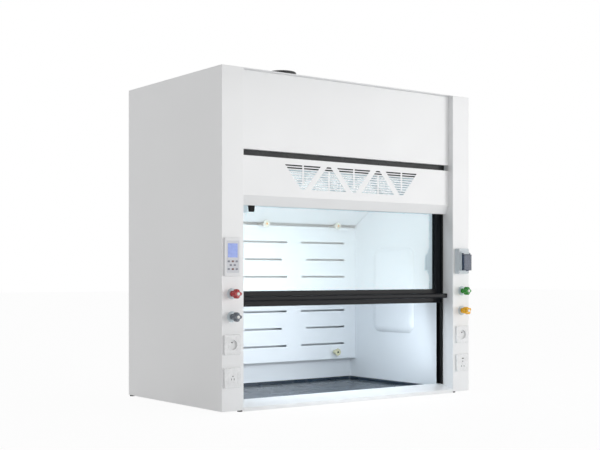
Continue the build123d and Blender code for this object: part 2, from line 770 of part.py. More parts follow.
def baffle_stud(x, z):
    """Six-sided spacer on the back liner. The lower ones end in a stud through the baffle."""
    if z == STUD_TOP_Z:
        return prism(6, "y", BAFFLE_FACE, CHAMBER_BACK, SLEEVE_R, x=x, z=z)
    spacer = prism(6, "y", BAFFLE_BACK, CHAMBER_BACK, SLEEVE_R, x=x, z=z)
    return spacer + prism(6, "y", BAFFLE_FACE, CHAMBER_BACK, STUD_R, x=x, z=z)


def hand_knob(x, z):
    """Lobed knob with a hub, screwed on its stud against the baffle."""
    at = Plane(origin=(x, BAFFLE_FACE - HAND_KNOB_HUB, z), x_dir=(1, 0, 0), z_dir=(0, -1, 0))
    outline = star(HAND_KNOB_LOBES, HAND_KNOB_R, HAND_KNOB_R * 0.86)
    head = bevelled(extrude(at * outline, amount=HAND_KNOB_T, dir=(0, -1, 0)), EDGE_R)
    return head + prism(HAND_KNOB_SIDES, "y", BAFFLE_FACE - HAND_KNOB_HUB, BAFFLE_FACE, SLEEVE_R, x=x, z=z)


# Sash and tracks

def sash_stile():
    """Right stile, with the groove for the glass, a rope lug on top and a drawn face."""
    z0 = SASH_REST
    bar = block(STILE_IN, STILE_OUT, SASH_FRONT, SASH_BACK, z0, SASH_TOP)
    bar = chamfer(bar.edges().filter_by(Axis.Z), EDGE_R)
    groove = block(
        STILE_IN - 1, STILE_IN + GLASS_BITE + GLASS_FIT, SASH_Y - GROOVE_HALF, SASH_Y + GROOVE_HALF,
        RAIL_Z0 + RAIL_H - GLASS_BITE - GLASS_FIT, SASH_TOP - TOP_RAIL_H + GLASS_BITE + GLASS_FIT,
    )
    reed_x = STILE_IN + STILE_W / 3
    reed = block(reed_x - REED_W, reed_x + REED_W, SASH_FRONT - 1, SASH_FRONT + REED_D, z0 - 1, SASH_TOP + 1)
    return bar - [groove, reed] + rope_lug(SASH_Y, SASH_TOP)


def rope_lug(y, z):
    """Right lug that a rope ends in, on top of the sash or of the counterweight."""
    half = LUG / 2
    return block(ROPE_X - half, ROPE_X + half, y - half, y + half, z, z + LUG_H)


def rail_core(z0, z1):
    """Hollow of a drawn rail, open at both ends."""
    return block(-STILE_IN - 1, STILE_IN + 1, SASH_FRONT + RAIL_WALL, SASH_BACK - RAIL_WALL, z0, z1)


def bottom_rail():
    """Rail between the stiles, with a web that carries the full-width handle bar."""
    body = block(-STILE_IN, STILE_IN, SASH_FRONT, SASH_BACK, RAIL_Z0, RAIL_Z0 + RAIL_H)
    body = chamfer(body.edges().filter_by(Axis.X), EDGE_R)
    heel = block(-STILE_IN, STILE_IN, SASH_Y - HEEL_T / 2, SASH_Y + HEEL_T / 2, SASH_REST, RAIL_Z0)
    handle_z = SASH_REST + HANDLE_Z
    web = block(-STILE_IN, STILE_IN, HANDLE_FRONT + HANDLE_T / 2, SASH_FRONT,
                handle_z - HANDLE_WEB / 2, handle_z + HANDLE_WEB / 2)
    grip = Pos(HANDLE_FRONT + HANDLE_T / 2, handle_z) * rounded(HANDLE_T, HANDLE_H, HANDLE_T * 0.42)
    half = CHEEK_X - HANDLE_END_GAP
    bar = section_yz(grip, -half, half)
    ends = bar.faces().filter_by(Axis.X).edges()
    bar = chamfer(ends, EDGE_R)
    groove = block(
        -STILE_IN - 1, STILE_IN + 1, SASH_Y - GROOVE_HALF, SASH_Y + GROOVE_HALF,
        RAIL_Z0 + RAIL_H - GLASS_BITE - GLASS_FIT, RAIL_Z0 + RAIL_H + 1,
    )
    reeds = [block(-STILE_IN - 1, STILE_IN + 1, SASH_FRONT - 1, SASH_FRONT + REED_D, z, z + REED_W)
             for z in (RAIL_Z0 + RAIL_H / 7, RAIL_Z0 + 6 * RAIL_H / 7)]
    core = rail_core(RAIL_Z0 + RAIL_WALL, RAIL_Z0 + RAIL_H - GLASS_BITE - GLASS_FIT - RAIL_WALL)
    return body + heel + web + bar - [groove, core, *reeds]


def top_rail():
    z0 = SASH_TOP - TOP_RAIL_H
    body = block(-STILE_IN, STILE_IN, SASH_FRONT, SASH_BACK, z0, SASH_TOP)
    groove = block(-STILE_IN - 1, STILE_IN + 1, SASH_Y - GROOVE_HALF, SASH_Y + GROOVE_HALF,
                   z0 - 1, z0 + GLASS_BITE + GLASS_FIT)
    core = rail_core(z0 + GLASS_BITE + GLASS_FIT + RAIL_WALL, SASH_TOP - RAIL_WALL)
    return chamfer(body.edges().filter_by(Axis.X), EDGE_R) - [groove, core]


def sash_glass():
    half = STILE_IN + GLASS_BITE
    z0 = RAIL_Z0 + RAIL_H - GLASS_BITE
    z1 = SASH_TOP - TOP_RAIL_H + GLASS_BITE
    return block(-half, half, SASH_Y - GLASS_T / 2, SASH_Y + GLASS_T / 2, z0, z1)


def sash_track():
    """Right track: a channel on the post's cheek that takes the edge of the stile."""
    x0 = CHEEK_X - TRACK_W
    channel = block(x0, CHEEK_X, TRACK_Y0, TRACK_Y1, TRACK_Z0, ROOF_UNDER)
    room = block(x0 - 1, CHEEK_X - TRACK_T, TRACK_Y0 + TRACK_FLANGE, TRACK_Y1 - TRACK_FLANGE,
                 TRACK_Z0 - 1, ROOF_UNDER + 1)
    return channel - room


# Lift gear

def pulley_shaft(y):
    """Cross shaft with a grooved pulley near each end, drawn as one turned section."""
    rim = PULLEY_R + PULLEY_RIM
    root = PULLEY_R - ROPE_R - ROPE_GAP
    half = PULLEY_W / 2
    slack = ROPE_R + ROPE_GAP
    end = BRACKET_X + BRACKET_T / 2 + SHAFT_STUB
    wheel = [(ROPE_X - half, rim), (ROPE_X - slack, root), (ROPE_X + slack, root), (ROPE_X + half, rim)]
    right = [(ROPE_X - half, SHAFT_R), *wheel, (ROPE_X + half, SHAFT_R), (end, SHAFT_R)]
    left = [(-x, r) for x, r in reversed(right)]
    outline = polygon((-end, 0), *left, *right, (end, 0))
    turned = revolve(outline, axis=Axis.X)
    return Pos(0, y, SHAFT_Z) * turned


def pulley_bracket(y):
    """Right hanger of a cross shaft: a plate with a foot under the roof."""
    x0 = BRACKET_X - BRACKET_T / 2
    x1 = BRACKET_X + BRACKET_T / 2
    plate = block(x0, x1, y - BRACKET_W / 2, y + BRACKET_W / 2, SHAFT_Z - 2 * SHAFT_R, ROOF_UNDER)
    foot = block(x0, CHEEK_X - TRACK_W - 1, y - BRACKET_W / 2, y + BRACKET_W / 2,
                 ROOF_UNDER - BRACKET_T, ROOF_UNDER)
    bore = rod("x", x0 - 1, x1 + 1, SHAFT_R + SHAFT_FIT, y=y, z=SHAFT_Z)
    return plate + foot - bore


def rope_turn(shaft_y, drop_y):
    """Quarter turn of the right rope, from its drop to the top of the pulley."""
    profile = Pos(ROPE_X, drop_y, SHAFT_Z) * RegularPolygon(ROPE_R, 6)
    sense = -1 if drop_y < shaft_y else 1
    return revolve(profile, axis=Axis((ROPE_X, shaft_y, SHAFT_Z), (sense, 0, 0)), revolution_arc=90)


def top_rope():
    """Right rope over both pulleys, from the top of its front drop to the top of its rear drop."""
    run = prism(6, "y", FRONT_SHAFT_Y, REAR_SHAFT_Y, ROPE_R, x=ROPE_X, z=SHAFT_Z + PULLEY_R)
    return rope_turn(FRONT_SHAFT_Y, SASH_Y) + run + rope_turn(REAR_SHAFT_Y, WEIGHT_Y)


def rope_drop(y, low):
    return prism(6, "z", low, SHAFT_Z, ROPE_R, x=ROPE_X, y=y)


def counterweight():
    """Steel bar across the back, with a lug for each rope."""
    bar = block(-WEIGHT_HALF, WEIGHT_HALF, WEIGHT_Y - WEIGHT_T / 2, WEIGHT_Y + WEIGHT_T / 2,
                WEIGHT_TOP - WEIGHT_H, WEIGHT_TOP)
    bar = chamfer(bar.edges().filter_by(Axis.X), EDGE_R)
    lug = rope_lug(WEIGHT_Y, WEIGHT_TOP)
    return bar + lug + mirrored(lug)


# Exhaust collar and lamp

def exhaust_collar():
    """One turned moulding: duct from the ceiling, flange on the roof and the collar above it."""
    z0 = CEILING_Z + LINER_T
    z1 = HEIGHT + COLLAR_RISE
    flange_r = COLLAR_R + COLLAR_RING_W
    flange_z = HEIGHT + COLLAR_RING_T
    inner = COLLAR_R - COLLAR_WALL
    outline = polygon(
        (inner, z0), (DUCT_R, z0), (DUCT_R, HEIGHT), (flange_r, HEIGHT), (flange_r, flange_z),
        (COLLAR_R, flange_z), (COLLAR_R, z1 - COLLAR_BEVEL), (COLLAR_R - COLLAR_BEVEL, z1), (inner, z1),
    )
    return Pos(0, COLLAR_Y, 0) * revolve(Plane.XZ * outline, axis=Axis.Z)


def lamp_housing():
    """Tray over the ceiling's window, with two lamp tubes in it."""
    z0 = CEILING_Z + LINER_T
    half_l = LAMP_L / 2
    half_w = LAMP_W / 2
    tray = block(-half_l, half_l, LAMP_Y - half_w, LAMP_Y + half_w, z0, z0 + LAMP_H)
    room = block(-half_l + SHEET, half_l - SHEET, LAMP_Y - half_w + SHEET, LAMP_Y + half_w - SHEET,
                 z0 - 1, z0 + LAMP_H - SHEET)
    tubes = [rod("x", -half_l + SHEET, half_l - SHEET, LAMP_TUBE_R, y=LAMP_Y + side * half_w / 2,
                 z=z0 + LAMP_H - 2 * LAMP_TUBE_R) for side in (-1, 1)]
    return tray - room, *tubes


def lamp_glass():
    z0 = CEILING_Z + LINER_T
    half_l = LAMP_L / 2 - LAMP_MARGIN
    half_w = LAMP_W / 2 - LAMP_MARGIN
    return block(-half_l, half_l, LAMP_Y - half_w, LAMP_Y + half_w, z0, z0 + LAMP_GLASS_T)


# Valves

def valve_places():
    """(x, z) of the four valves, with the name of each knob."""
    return {
        "valve_knob_red": (-FITTING_X, VALVE_UPPER_Z),
        "valve_knob_grey": (-FITTING_X, VALVE_LOWER_Z),
        "valve_knob_green": (FITTING_X, VALVE_UPPER_Z),
        "valve_knob_yellow": (FITTING_X, VALVE_LOWER_Z),
    }


def valve_flange(x, z):
    """Tapered escutcheon on the post, around the spindle."""
    disc = Pos(x, FRONT - FLANGE_T / 2, z) * Rot(90, 0, 0) * Cone(FLANGE_R, FLANGE_R - FLANGE_TAPER, FLANGE_T)
    return disc - rod("y", FRONT - FLANGE_T - 1, FRONT + 1, SPINDLE_R + SPINDLE_GAP, x=x, z=z)


def valve_body(x, z):
    """Square body behind the post, with its tail and the bore that the spindle turns in."""
    y0 = FRONT + SHEET
    half = VALVE_W / 2
    body = block(x - half, x + half, y0, y0 + VALVE_L, z - half, z + half)
    tail = block(x - half / 2, x + half / 2, y0 + half / 2, y0 + 3 * half / 2, z - VALVE_W, z)
    return body + tail - rod("y", y0 - 1, VALVE_BACK - VALVE_FLOOR, SPINDLE_R + SHAFT_FIT, x=x, z=z)


def valve_knob(x, z, turn):
    """Four-lobed handle with a hub, a cap and the spindle behind it."""
    hub_y = FRONT - FLANGE_T - KNOB_GAP
    grip_y = hub_y - KNOB_HUB_L
    cap_y = grip_y - KNOB_L
    at = Plane(origin=(x, grip_y, z), x_dir=(1, 0, 0), z_dir=(0, -1, 0))
    outline = star(KNOB_LOBES, KNOB_R, KNOB_R * KNOB_WAIST, turn)
    grip = bevelled(extrude(at * outline, amount=KNOB_L, dir=(0, -1, 0)), EDGE_R)
    hub = prism(KNOB_SIDES, "y", grip_y, hub_y, KNOB_HUB_R, x=x, z=z)
    cap = prism(KNOB_SIDES, "y", cap_y - KNOB_CAP_T, cap_y, KNOB_CAP_R, x=x, z=z)
    spindle = rod("y", hub_y, VALVE_BACK - VALVE_FLOOR - SPINDLE_SHY, SPINDLE_R, x=x, z=z)
    return grip + hub + bevelled(cap, EDGE_R) + spindle


# Sockets

def socket_plate(x, z):
    """Cover plate with bevelled edges and the square body behind it, let into the post."""
    half = PLATE / 2
    deep = SOCKET_BODY / 2
    plate = bevelled(block(x - half, x + half, FRONT - PLATE_T, FRONT, z - half, z + half), EDGE_R)
    return plate + block(x - deep, x + deep, FRONT, FRONT + SOCKET_BODY_D, z - deep, z + deep)


def socket_cut(x, z, dx, dz, width, height, depth):
    """A slot in the front of a socket plate, centred at (dx, dz) from the plate's middle."""
    face = FRONT - PLATE_T
    return block(x + dx - width / 2, x + dx + width / 2, face - 1, face + depth,
                 z + dz - height / 2, z + dz + height / 2)


def round_socket(x, z):
    """Plate with a round well, two contact holes in its floor and an earth stud."""
    face = FRONT - PLATE_T
    floor = face + ROUND_WELL_D
    well = rod("y", face - 1, floor, ROUND_WELL_R, x=x, z=z)
    holes = [prism(8, "y", floor - 1, floor + CONTACT_DEPTH / 2, CONTACT_HOLE / 2, x=x + dx, z=z)
             for dx in (-CONTACT_X, CONTACT_X)]
    half = EARTH_STUD / 2
    rise = z + EARTH_STUD_RISE
    stud = block(x - half, x + half, floor - ROUND_WELL_D / 2, floor + 1, rise - half, rise + half)
    return socket_plate(x, z) - [well, *holes] + stud


def three_hole_socket(x, z):
    """Plate with a fine square groove, an earth hole and two blade holes."""
    side = 0.58 * PLATE
    line = 0.8
    groove = [socket_cut(x, z, 0, dz, side + line, line, line) for dz in (-side / 2, side / 2)]
    groove += [socket_cut(x, z, dx, 0, line, side + line, line) for dx in (-side / 2, side / 2)]
    holes = [socket_cut(x, z, 0, 7, CONTACT_HOLE, CONTACT_HOLE, CONTACT_DEPTH)]
    holes += [socket_cut(x, z, dx, -6, 3, 8, CONTACT_DEPTH) for dx in (-6.5, 6.5)]
    return socket_plate(x, z) - [*groove, *holes]


def combined_socket(x, z):
    """Plate with a flat slot over an earth hole and two pin holes."""
    slot = socket_cut(x, z, 0, 21, 13, 4.5, CONTACT_DEPTH)
    earth = socket_cut(x, z, 0, 6, CONTACT_HOLE, CONTACT_HOLE, CONTACT_DEPTH)
    pins = [socket_cut(x, z, dx, -18, CONTACT_HOLE, CONTACT_HOLE, CONTACT_DEPTH) for dx in (-9, 9)]
    return socket_plate(x, z) - [slot, earth, *pins]


# Control panel on the left post

def panel_front(x, z, width, height, y0, y1):
    """A block on the control panel, centred at (x, z) from the panel's middle."""
    cx = -PANEL_X + x
    cz = PANEL_Z + z
    return block(cx - width / 2, cx + width / 2, y0, y1, cz - height / 2, cz + height / 2)


def key_places():
    """(x, z) from the panel's middle: rows of three, two and three keys."""
    full = [-KEY_PITCH, 0, KEY_PITCH]
    pair = [-KEY_PITCH / 2, KEY_PITCH / 2]
    places = []
    for row, columns in zip(KEY_ROW_Z, (full, pair, full)):
        places.extend((x, row) for x in columns)
    return places


def control_panel():
    """Moulded housing: a recessed face, a pocket for the display and a pocket for each key."""
    shell = bevelled(panel_front(0, 0, PANEL_W, PANEL_H, PANEL_FRONT, FRONT), EDGE_R)
    box = panel_front(0, 0, PANEL_BOX_W, PANEL_BOX_H, FRONT, FRONT + PANEL_BOX_D)
    recess = panel_front(0, 0, FACE_W, FACE_H, PANEL_FRONT - 1, PANEL_FACE)
    window = panel_front(0, LCD_Z, LCD_W + 2 * LCD_FIT, LCD_H + 2 * LCD_FIT, PANEL_FRONT - 1,
                         PANEL_FACE + LCD_T + LCD_SHY)
    pockets = [panel_front(x, z, KEY_W + 2 * KEY_FIT, KEY_H + 2 * KEY_FIT, PANEL_FRONT - 1,
                           KEY_FRONT + KEY_L + KEY_TRAVEL + KEY_FLOOR_GAP) for x, z in key_places()]
    return shell + box - [recess, window, *pockets]


def display():
    return panel_front(0, LCD_Z, LCD_W, LCD_H, PANEL_FACE + LCD_SHY, PANEL_FACE + LCD_SHY + LCD_T)


def key(x, z):
    cap = panel_front(x, z, KEY_W, KEY_H, KEY_FRONT, KEY_FRONT + KEY_L)
    return chamfer(cap.faces().sort_by(Axis.Y)[0].edges(), 0.5)


# Switch box on the right post

def switch_box():
    """Base box, raised hood with a well for the breaker, and the barrel of the cover's hinge."""
    wide = SWITCH_W / 2
    high = SWITCH_H / 2
    base_face = FRONT - SWITCH_T
    base = block(SWITCH_X - wide, SWITCH_X + wide, base_face, FRONT, SWITCH_Z - high, SWITCH_Z + high)
    base = bevelled(chamfer(base.edges().filter_by(Axis.Y), BOX_CHAMFER), EDGE_R)
    hood = block(SWITCH_X - HOOD_W / 2, SWITCH_X + HOOD_W / 2, HOOD_FACE, base_face,
                 SWITCH_Z - HOOD_H / 2, SWITCH_Z + HOOD_H / 2)
    hood = chamfer(hood.edges().filter_by(Axis.Y), BOX_CHAMFER)
    half = BREAKER_W / 2 + BREAKER_FIT
    tall = BREAKER_H / 2 + BREAKER_FIT
    well = block(SWITCH_X - half, SWITCH_X + half, HOOD_FACE - 1, BREAKER_FACE + BREAKER_D,
                 BREAKER_Z - tall, BREAKER_Z + tall)
    inner = COVER_LID_W / 2 - HINGE_EAR - HINGE_GAP
    barrel = rod("x", SWITCH_X - inner, SWITCH_X + inner, HINGE_R, y=HINGE_Y, z=HINGE_Z)
    arm = block(SWITCH_X - inner, SWITCH_X + inner, HINGE_Y, HOOD_FACE + 1,
                HINGE_Z + HINGE_R - HINGE_ARM_T, HINGE_Z + HINGE_R)
    bore = rod("x", SWITCH_X - inner - 1, SWITCH_X + inner + 1, HINGE_PIN_R + SHAFT_FIT, y=HINGE_Y, z=HINGE_Z)
    return base + hood - well + (barrel + arm - bore)


def breaker():
    """Breaker body with the slot that its toggle swings in."""
    body = block(SWITCH_X - BREAKER_W / 2, SWITCH_X + BREAKER_W / 2, BREAKER_FACE, BREAKER_FACE + BREAKER_D,
                 BREAKER_Z - BREAKER_H / 2, BREAKER_Z + BREAKER_H / 2)
    body = chamfer(body.faces().sort_by(Axis.Y)[0].edges().filter_by(Axis.X), EDGE_R)
    half = TOGGLE_W / 2 + TOGGLE_FIT
    well = rod("x", SWITCH_X - half, SWITCH_X + half, TOGGLE_HUB_R + TOGGLE_FIT, y=TOGGLE_Y, z=BREAKER_Z)
    mouth = block(SWITCH_X - half, SWITCH_X + half, BREAKER_FACE - 1, TOGGLE_Y,
                  BREAKER_Z - BREAKER_MOUTH / 2, BREAKER_Z + BREAKER_MOUTH / 2)
    return body - [well, mouth]


def breaker_toggle():
    """Hub and lever, thrown up."""
    hub = rod("x", SWITCH_X - TOGGLE_W / 2, SWITCH_X + TOGGLE_W / 2, TOGGLE_HUB_R, y=TOGGLE_Y, z=BREAKER_Z)
    lever = Box(TOGGLE_W, TOGGLE_HUB_R + TOGGLE_L, TOGGLE_T)
    lever = chamfer(lever.faces().sort_by(Axis.Y)[0].edges(), EDGE_R / 2)
    lever = Pos(0, -(TOGGLE_HUB_R + TOGGLE_L) / 2, 0) * lever
    return hub + Pos(SWITCH_X, TOGGLE_Y, BREAKER_Z) * Rot(-TOGGLE_ANGLE, 0, 0) * lever


def switch_cover():
    """Smoked lid: an open shell with two ears, a pin and a finger tab at its foot."""
    y1 = HOOD_FACE - LID_GAP
    y0 = y1 - COVER_LID_D
    foot = LID_Z - COVER_LID_H / 2
    lid = Pos(SWITCH_X, (y0 + y1) / 2, LID_Z) * Box(COVER_LID_W, COVER_LID_D, COVER_LID_H)
    lid = bevelled(lid, COVER_LID_T)
    room = Pos(SWITCH_X, (y0 + y1) / 2 + COVER_LID_T, LID_Z) * Box(
        COVER_LID_W - 2 * COVER_LID_T, COVER_LID_D, COVER_LID_H - 2 * COVER_LID_T)
    tab = block(SWITCH_X - TAB_W / 2, SWITCH_X + TAB_W / 2, y0 + COVER_LID_T, y0 + 3 * COVER_LID_T,
                foot - TAB_H, foot + 1)
    ears = []
    for side in (-1, 1):
        mid = SWITCH_X + side * (COVER_LID_W - HINGE_EAR) / 2
        ear = rod("x", mid - HINGE_EAR / 2, mid + HINGE_EAR / 2, HINGE_R, y=HINGE_Y, z=HINGE_Z)
        leg = block(mid - HINGE_EAR / 2, mid + HINGE_EAR / 2, HINGE_Y - HINGE_R, HINGE_Y + HINGE_R,
                    LID_Z + COVER_LID_H / 2 - 1, HINGE_Z)
        ears.extend([ear, leg])
    half = COVER_LID_W / 2 - 1
    pin = rod("x", SWITCH_X - half, SWITCH_X + half, HINGE_PIN_R, y=HINGE_Y, z=HINGE_Z)
    return lid - room + [tab, *ears, pin]


# Write every node

save("side_panel_right", side_panel())
save("side_panel_left", mirrored(side_panel()))
save("back_panel", back_panel())
save("roof_panel", roof_panel())
post_left, post_right = posts()
save("post_left", post_left)
save("post_right", post_right)
save("glides", *glides())
save("upper_fascia", upper_fascia())
save("lower_fascia", lower_fascia())
save("fascia_strip", fascia_strip())
save("sash_stop", sash_stop())
save("sill", sill())
save("worktop", worktop())
save("liner_right", side_liner())
save("liner_left", mirrored(side_liner()))
save("liner_back", back_liner())
save("liner_ceiling", ceiling())
save("access_covers", access_cover(), mirrored(access_cover()))
save("baffle_lower", lower_baffle())
save("baffle_upper", upper_baffle())
save("baffle_studs", *[baffle_stud(x, z) for x, z in stud_places()])
save("baffle_knobs", *[hand_knob(x, z) for x, z in stud_places()])
save("sash_tracks", sash_track(), mirrored(sash_track()))
save("exhaust_collar", exhaust_collar())
save("lamp_housing", *lamp_housing())
save("lamp_glass", lamp_glass())

save("sash_stile_right", sash_stile())
save("sash_stile_left", mirrored(sash_stile()))
save("sash_bottom_rail", bottom_rail())
save("sash_top_rail", top_rail())
save("sash_glass", sash_glass())

hangers = [pulley_bracket(FRONT_SHAFT_Y), pulley_bracket(REAR_SHAFT_Y)]
front_drop = rope_drop(SASH_Y, SASH_TOP + LUG_H)
rear_drop = rope_drop(WEIGHT_Y, WEIGHT_TOP + LUG_H)
save("pulley_brackets", *hangers, *[mirrored(h) for h in hangers])
save("front_pulley_shaft", pulley_shaft(FRONT_SHAFT_Y))
save("rear_pulley_shaft", pulley_shaft(REAR_SHAFT_Y))
save("lift_ropes_top", top_rope(), mirrored(top_rope()))
save("lift_ropes_front", front_drop, mirrored(front_drop))
save("lift_ropes_rear", rear_drop, mirrored(rear_drop))
save("counterweight", counterweight())

places = valve_places()
save("valve_flanges", *[valve_flange(x, z) for x, z in places.values()])
save("valve_bodies", *[valve_body(x, z) for x, z in places.values()])
for name, (x, z) in places.items():
    save(name, valve_knob(x, z, YELLOW_TURN if name == "valve_knob_yellow" else 0))

save("round_sockets", round_socket(-FITTING_X, SOCKET_UPPER_Z), round_socket(FITTING_X, SOCKET_UPPER_Z))
save("pin_sockets", three_hole_socket(-FITTING_X, SOCKET_LOWER_Z), combined_socket(FITTING_X, SOCKET_LOWER_Z))

save("control_panel", control_panel())
save("panel_display", display())
for number, (x, z) in enumerate(key_places(), start=1):
    save(f"panel_key_{number}", key(x, z))

save("switch_box", switch_box())
save("switch_breaker", breaker())
save("breaker_toggle", breaker_toggle())
save("switch_cover", switch_cover())
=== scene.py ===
import json
import math

import bmesh
import bpy
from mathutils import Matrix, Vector


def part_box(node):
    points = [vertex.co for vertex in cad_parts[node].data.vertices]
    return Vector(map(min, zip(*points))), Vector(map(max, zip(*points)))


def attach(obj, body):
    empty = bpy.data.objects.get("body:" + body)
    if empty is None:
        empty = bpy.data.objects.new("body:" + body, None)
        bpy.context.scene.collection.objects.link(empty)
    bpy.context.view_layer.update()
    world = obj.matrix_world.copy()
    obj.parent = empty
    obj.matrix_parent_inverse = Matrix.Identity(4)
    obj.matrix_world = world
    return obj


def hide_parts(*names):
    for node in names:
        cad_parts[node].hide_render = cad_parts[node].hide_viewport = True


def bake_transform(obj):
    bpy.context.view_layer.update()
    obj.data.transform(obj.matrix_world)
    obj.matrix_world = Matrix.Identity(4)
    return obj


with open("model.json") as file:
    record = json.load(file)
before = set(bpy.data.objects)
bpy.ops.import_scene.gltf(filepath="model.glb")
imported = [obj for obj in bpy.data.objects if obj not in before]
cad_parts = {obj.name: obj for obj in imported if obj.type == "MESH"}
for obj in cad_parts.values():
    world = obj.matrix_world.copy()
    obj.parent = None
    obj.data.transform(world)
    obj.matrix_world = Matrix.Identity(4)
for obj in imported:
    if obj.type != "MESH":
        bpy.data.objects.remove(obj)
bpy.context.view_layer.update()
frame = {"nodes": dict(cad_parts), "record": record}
nodes = frame["nodes"]
scene = bpy.context.scene

# Places on the hood are in metres, and the sizes of outlines and profiles in millimetres.
MM = 0.001
QUARTER = math.pi / 2
RIGHT = (1, 0, 0)
BACK = (0, 1, 0)
FRONT = (0, -1, 0)
UP = (0, 0, 1)


# Materials

class Graph:
    """Short words for building a node material in Object coordinates."""

    def __init__(self, name):
        self.mat = bpy.data.materials.new(name)
        self.mat.use_nodes = True
        self.tree = self.mat.node_tree
        self.bsdf = self.tree.nodes["Principled BSDF"]
        self.coords = self.tree.nodes.new("ShaderNodeTexCoord").outputs["Object"]

    def node(self, kind, **values):
        made = self.tree.nodes.new(kind)
        for key, value in values.items():
            if key in made.inputs:
                made.inputs[key].default_value = value
            else:
                setattr(made, key, value)
        return made

    def link(self, a, b):
        self.tree.links.new(a, b)

    def stretched(self, scale):
        """Object coordinates scaled along each axis, for grain that runs one way."""
        mapping = self.node("ShaderNodeMapping")
        mapping.inputs["Scale"].default_value = scale
        self.link(self.coords, mapping.inputs["Vector"])
        return mapping.outputs["Vector"]

    def noise(self, scale, detail=3.0, rough=0.5, vector=None):
        made = self.node("ShaderNodeTexNoise", Scale=scale, Detail=detail, Roughness=rough)
        self.link(vector or self.coords, made.inputs["Vector"])
        return made.outputs["Fac"]

    def ramp(self, fac, *stops):
        """A colour ramp from (position, colour or grey) stops."""
        made = self.node("ShaderNodeValToRGB")
        slots = made.color_ramp.elements
        while len(slots) < len(stops):
            slots.new(0.5)
        for slot, (at, value) in zip(slots, stops):
            slot.position = at
            grey = isinstance(value, float)
            slot.color = (value, value, value, 1) if grey else (*value, 1)
        self.link(fac, made.inputs["Fac"])
        return made.outputs["Color"]

    def set(self, **values):
        for key, value in values.items():
            self.bsdf.inputs[key.replace("_", " ")].default_value = value

    def colour(self, socket):
        self.link(socket, self.bsdf.inputs["Base Color"])

    def roughness(self, socket):
        self.link(socket, self.bsdf.inputs["Roughness"])

    def bump(self, height, strength, distance=0.001):
        made = self.node("ShaderNodeBump", Strength=strength, Distance=distance)
        self.link(height, made.inputs["Height"])
        self.link(made.outputs["Normal"], self.bsdf.inputs["Normal"])


def shade(colour, factor):
    return tuple(c * factor for c in colour)


def powder_coat(name, colour, rough=0.34):
    """Semi-gloss coat: faint orange peel, slow variation of tone, a few handling marks."""
    g = Graph(name)
    tone = g.noise(1.6, 2.0)
    g.colour(g.ramp(tone, (0.3, shade(colour, 0.975)), (0.7, colour)))
    g.roughness(g.ramp(g.noise(7.0, 5.0, 0.65), (0.3, rough - 0.05), (0.75, rough + 0.07)))
    g.bump(g.noise(420.0, 2.0), 0.06, 0.0004)
    g.set(Coat_Weight=0.25, Coat_Roughness=0.12)
    return g.mat


def sheet_plastic(name, colour, rough=0.42, grain=260.0):
    """Satin plastic sheet or moulding with a fine grain, less glossy where it is black."""
    g = Graph(name)
    g.colour(g.ramp(g.noise(2.2, 3.0), (0.35, shade(colour, 0.96)), (0.7, colour)))
    g.roughness(g.ramp(g.noise(30.0, 4.0), (0.3, rough - 0.06), (0.7, rough + 0.06)))
    g.bump(g.noise(grain, 2.0), 0.05, 0.0003)
    if max(colour) < 0.1:
        g.set(Specular_IOR_Level=0.2)
    return g.mat


def gloss_moulding(name, colour, rough=0.2):
    """Glossy moulded plastic, a little uneven in tone and gloss."""
    g = Graph(name)
    g.colour(g.ramp(g.noise(40.0, 3.0), (0.3, shade(colour, 0.9)), (0.7, colour)))
    g.roughness(g.ramp(g.noise(90.0, 4.0), (0.35, rough), (0.7, rough + 0.12)))
    g.bump(g.noise(900.0, 2.0), 0.04, 0.0002)
    g.set(Specular_IOR_Level=0.4, Coat_Weight=0.12, Coat_Roughness=0.08)
    return g.mat


def drawn_frame(name, colour, scale):
    """Dark painted extrusion: streaks along its length."""
    g = Graph(name)
    streak = g.noise(1.0, 4.0, 0.6, g.stretched(scale))
    g.colour(g.ramp(streak, (0.3, shade(colour, 0.7)), (0.75, shade(colour, 1.25))))
    g.roughness(g.ramp(streak, (0.3, 0.18), (0.75, 0.34)))
    g.bump(streak, 0.08, 0.0003)
    g.set(Specular_IOR_Level=0.12, Coat_Weight=0.03, Coat_Roughness=0.1)
    return g.mat


def metal(name, colour, rough, scale=None):
    """Bare metal: an even mottle, or drawn lines where a scale is given."""
    g = Graph(name)
    vector = g.stretched(scale) if scale else None
    line = g.noise(60.0 if not scale else 1.0, 5.0, 0.6, vector)
    g.colour(g.ramp(line, (0.3, shade(colour, 0.8)), (0.7, colour)))
    g.roughness(g.ramp(line, (0.3, rough - 0.06), (0.7, rough + 0.1)))
    g.bump(line, 0.08, 0.0003)
    g.set(Metallic=1.0)
    return g.mat


def clear_glass(name):
    """Toughened pane: near clear, with a faint green tint and faint smears in its gloss."""
    g = Graph(name)
    g.set(Base_Color=(0.93, 0.985, 0.97, 1), Roughness=0.0, IOR=1.45, Transmission_Weight=1.0)
    smear = g.noise(5.0, 4.0, 0.6)
    g.roughness(g.ramp(smear, (0.3, 0.004), (0.9, 0.009)))
    return g.mat


def frosted_lamp(name):
    """Lamp window, lit from behind."""
    g = Graph(name)
    g.set(Base_Color=(0.9, 0.93, 0.95, 1), Roughness=0.4)
    g.set(Emission_Color=(0.86, 0.94, 1.0, 1), Emission_Strength=2.0)
    g.bump(g.noise(300.0, 2.0), 0.2, 0.0005)
    return g.mat


def lit_display(name):
    """Blue liquid crystal, dimly lit, with nothing shown on it."""
    g = Graph(name)
    fine = g.noise(60.0, 2.0)
    g.colour(g.ramp(fine, (0.3, (0.10, 0.16, 0.42)), (0.7, (0.15, 0.22, 0.52))))
    g.set(Roughness=0.15, Emission_Color=(0.3, 0.4, 0.85, 1), Emission_Strength=0.3)
    return g.mat


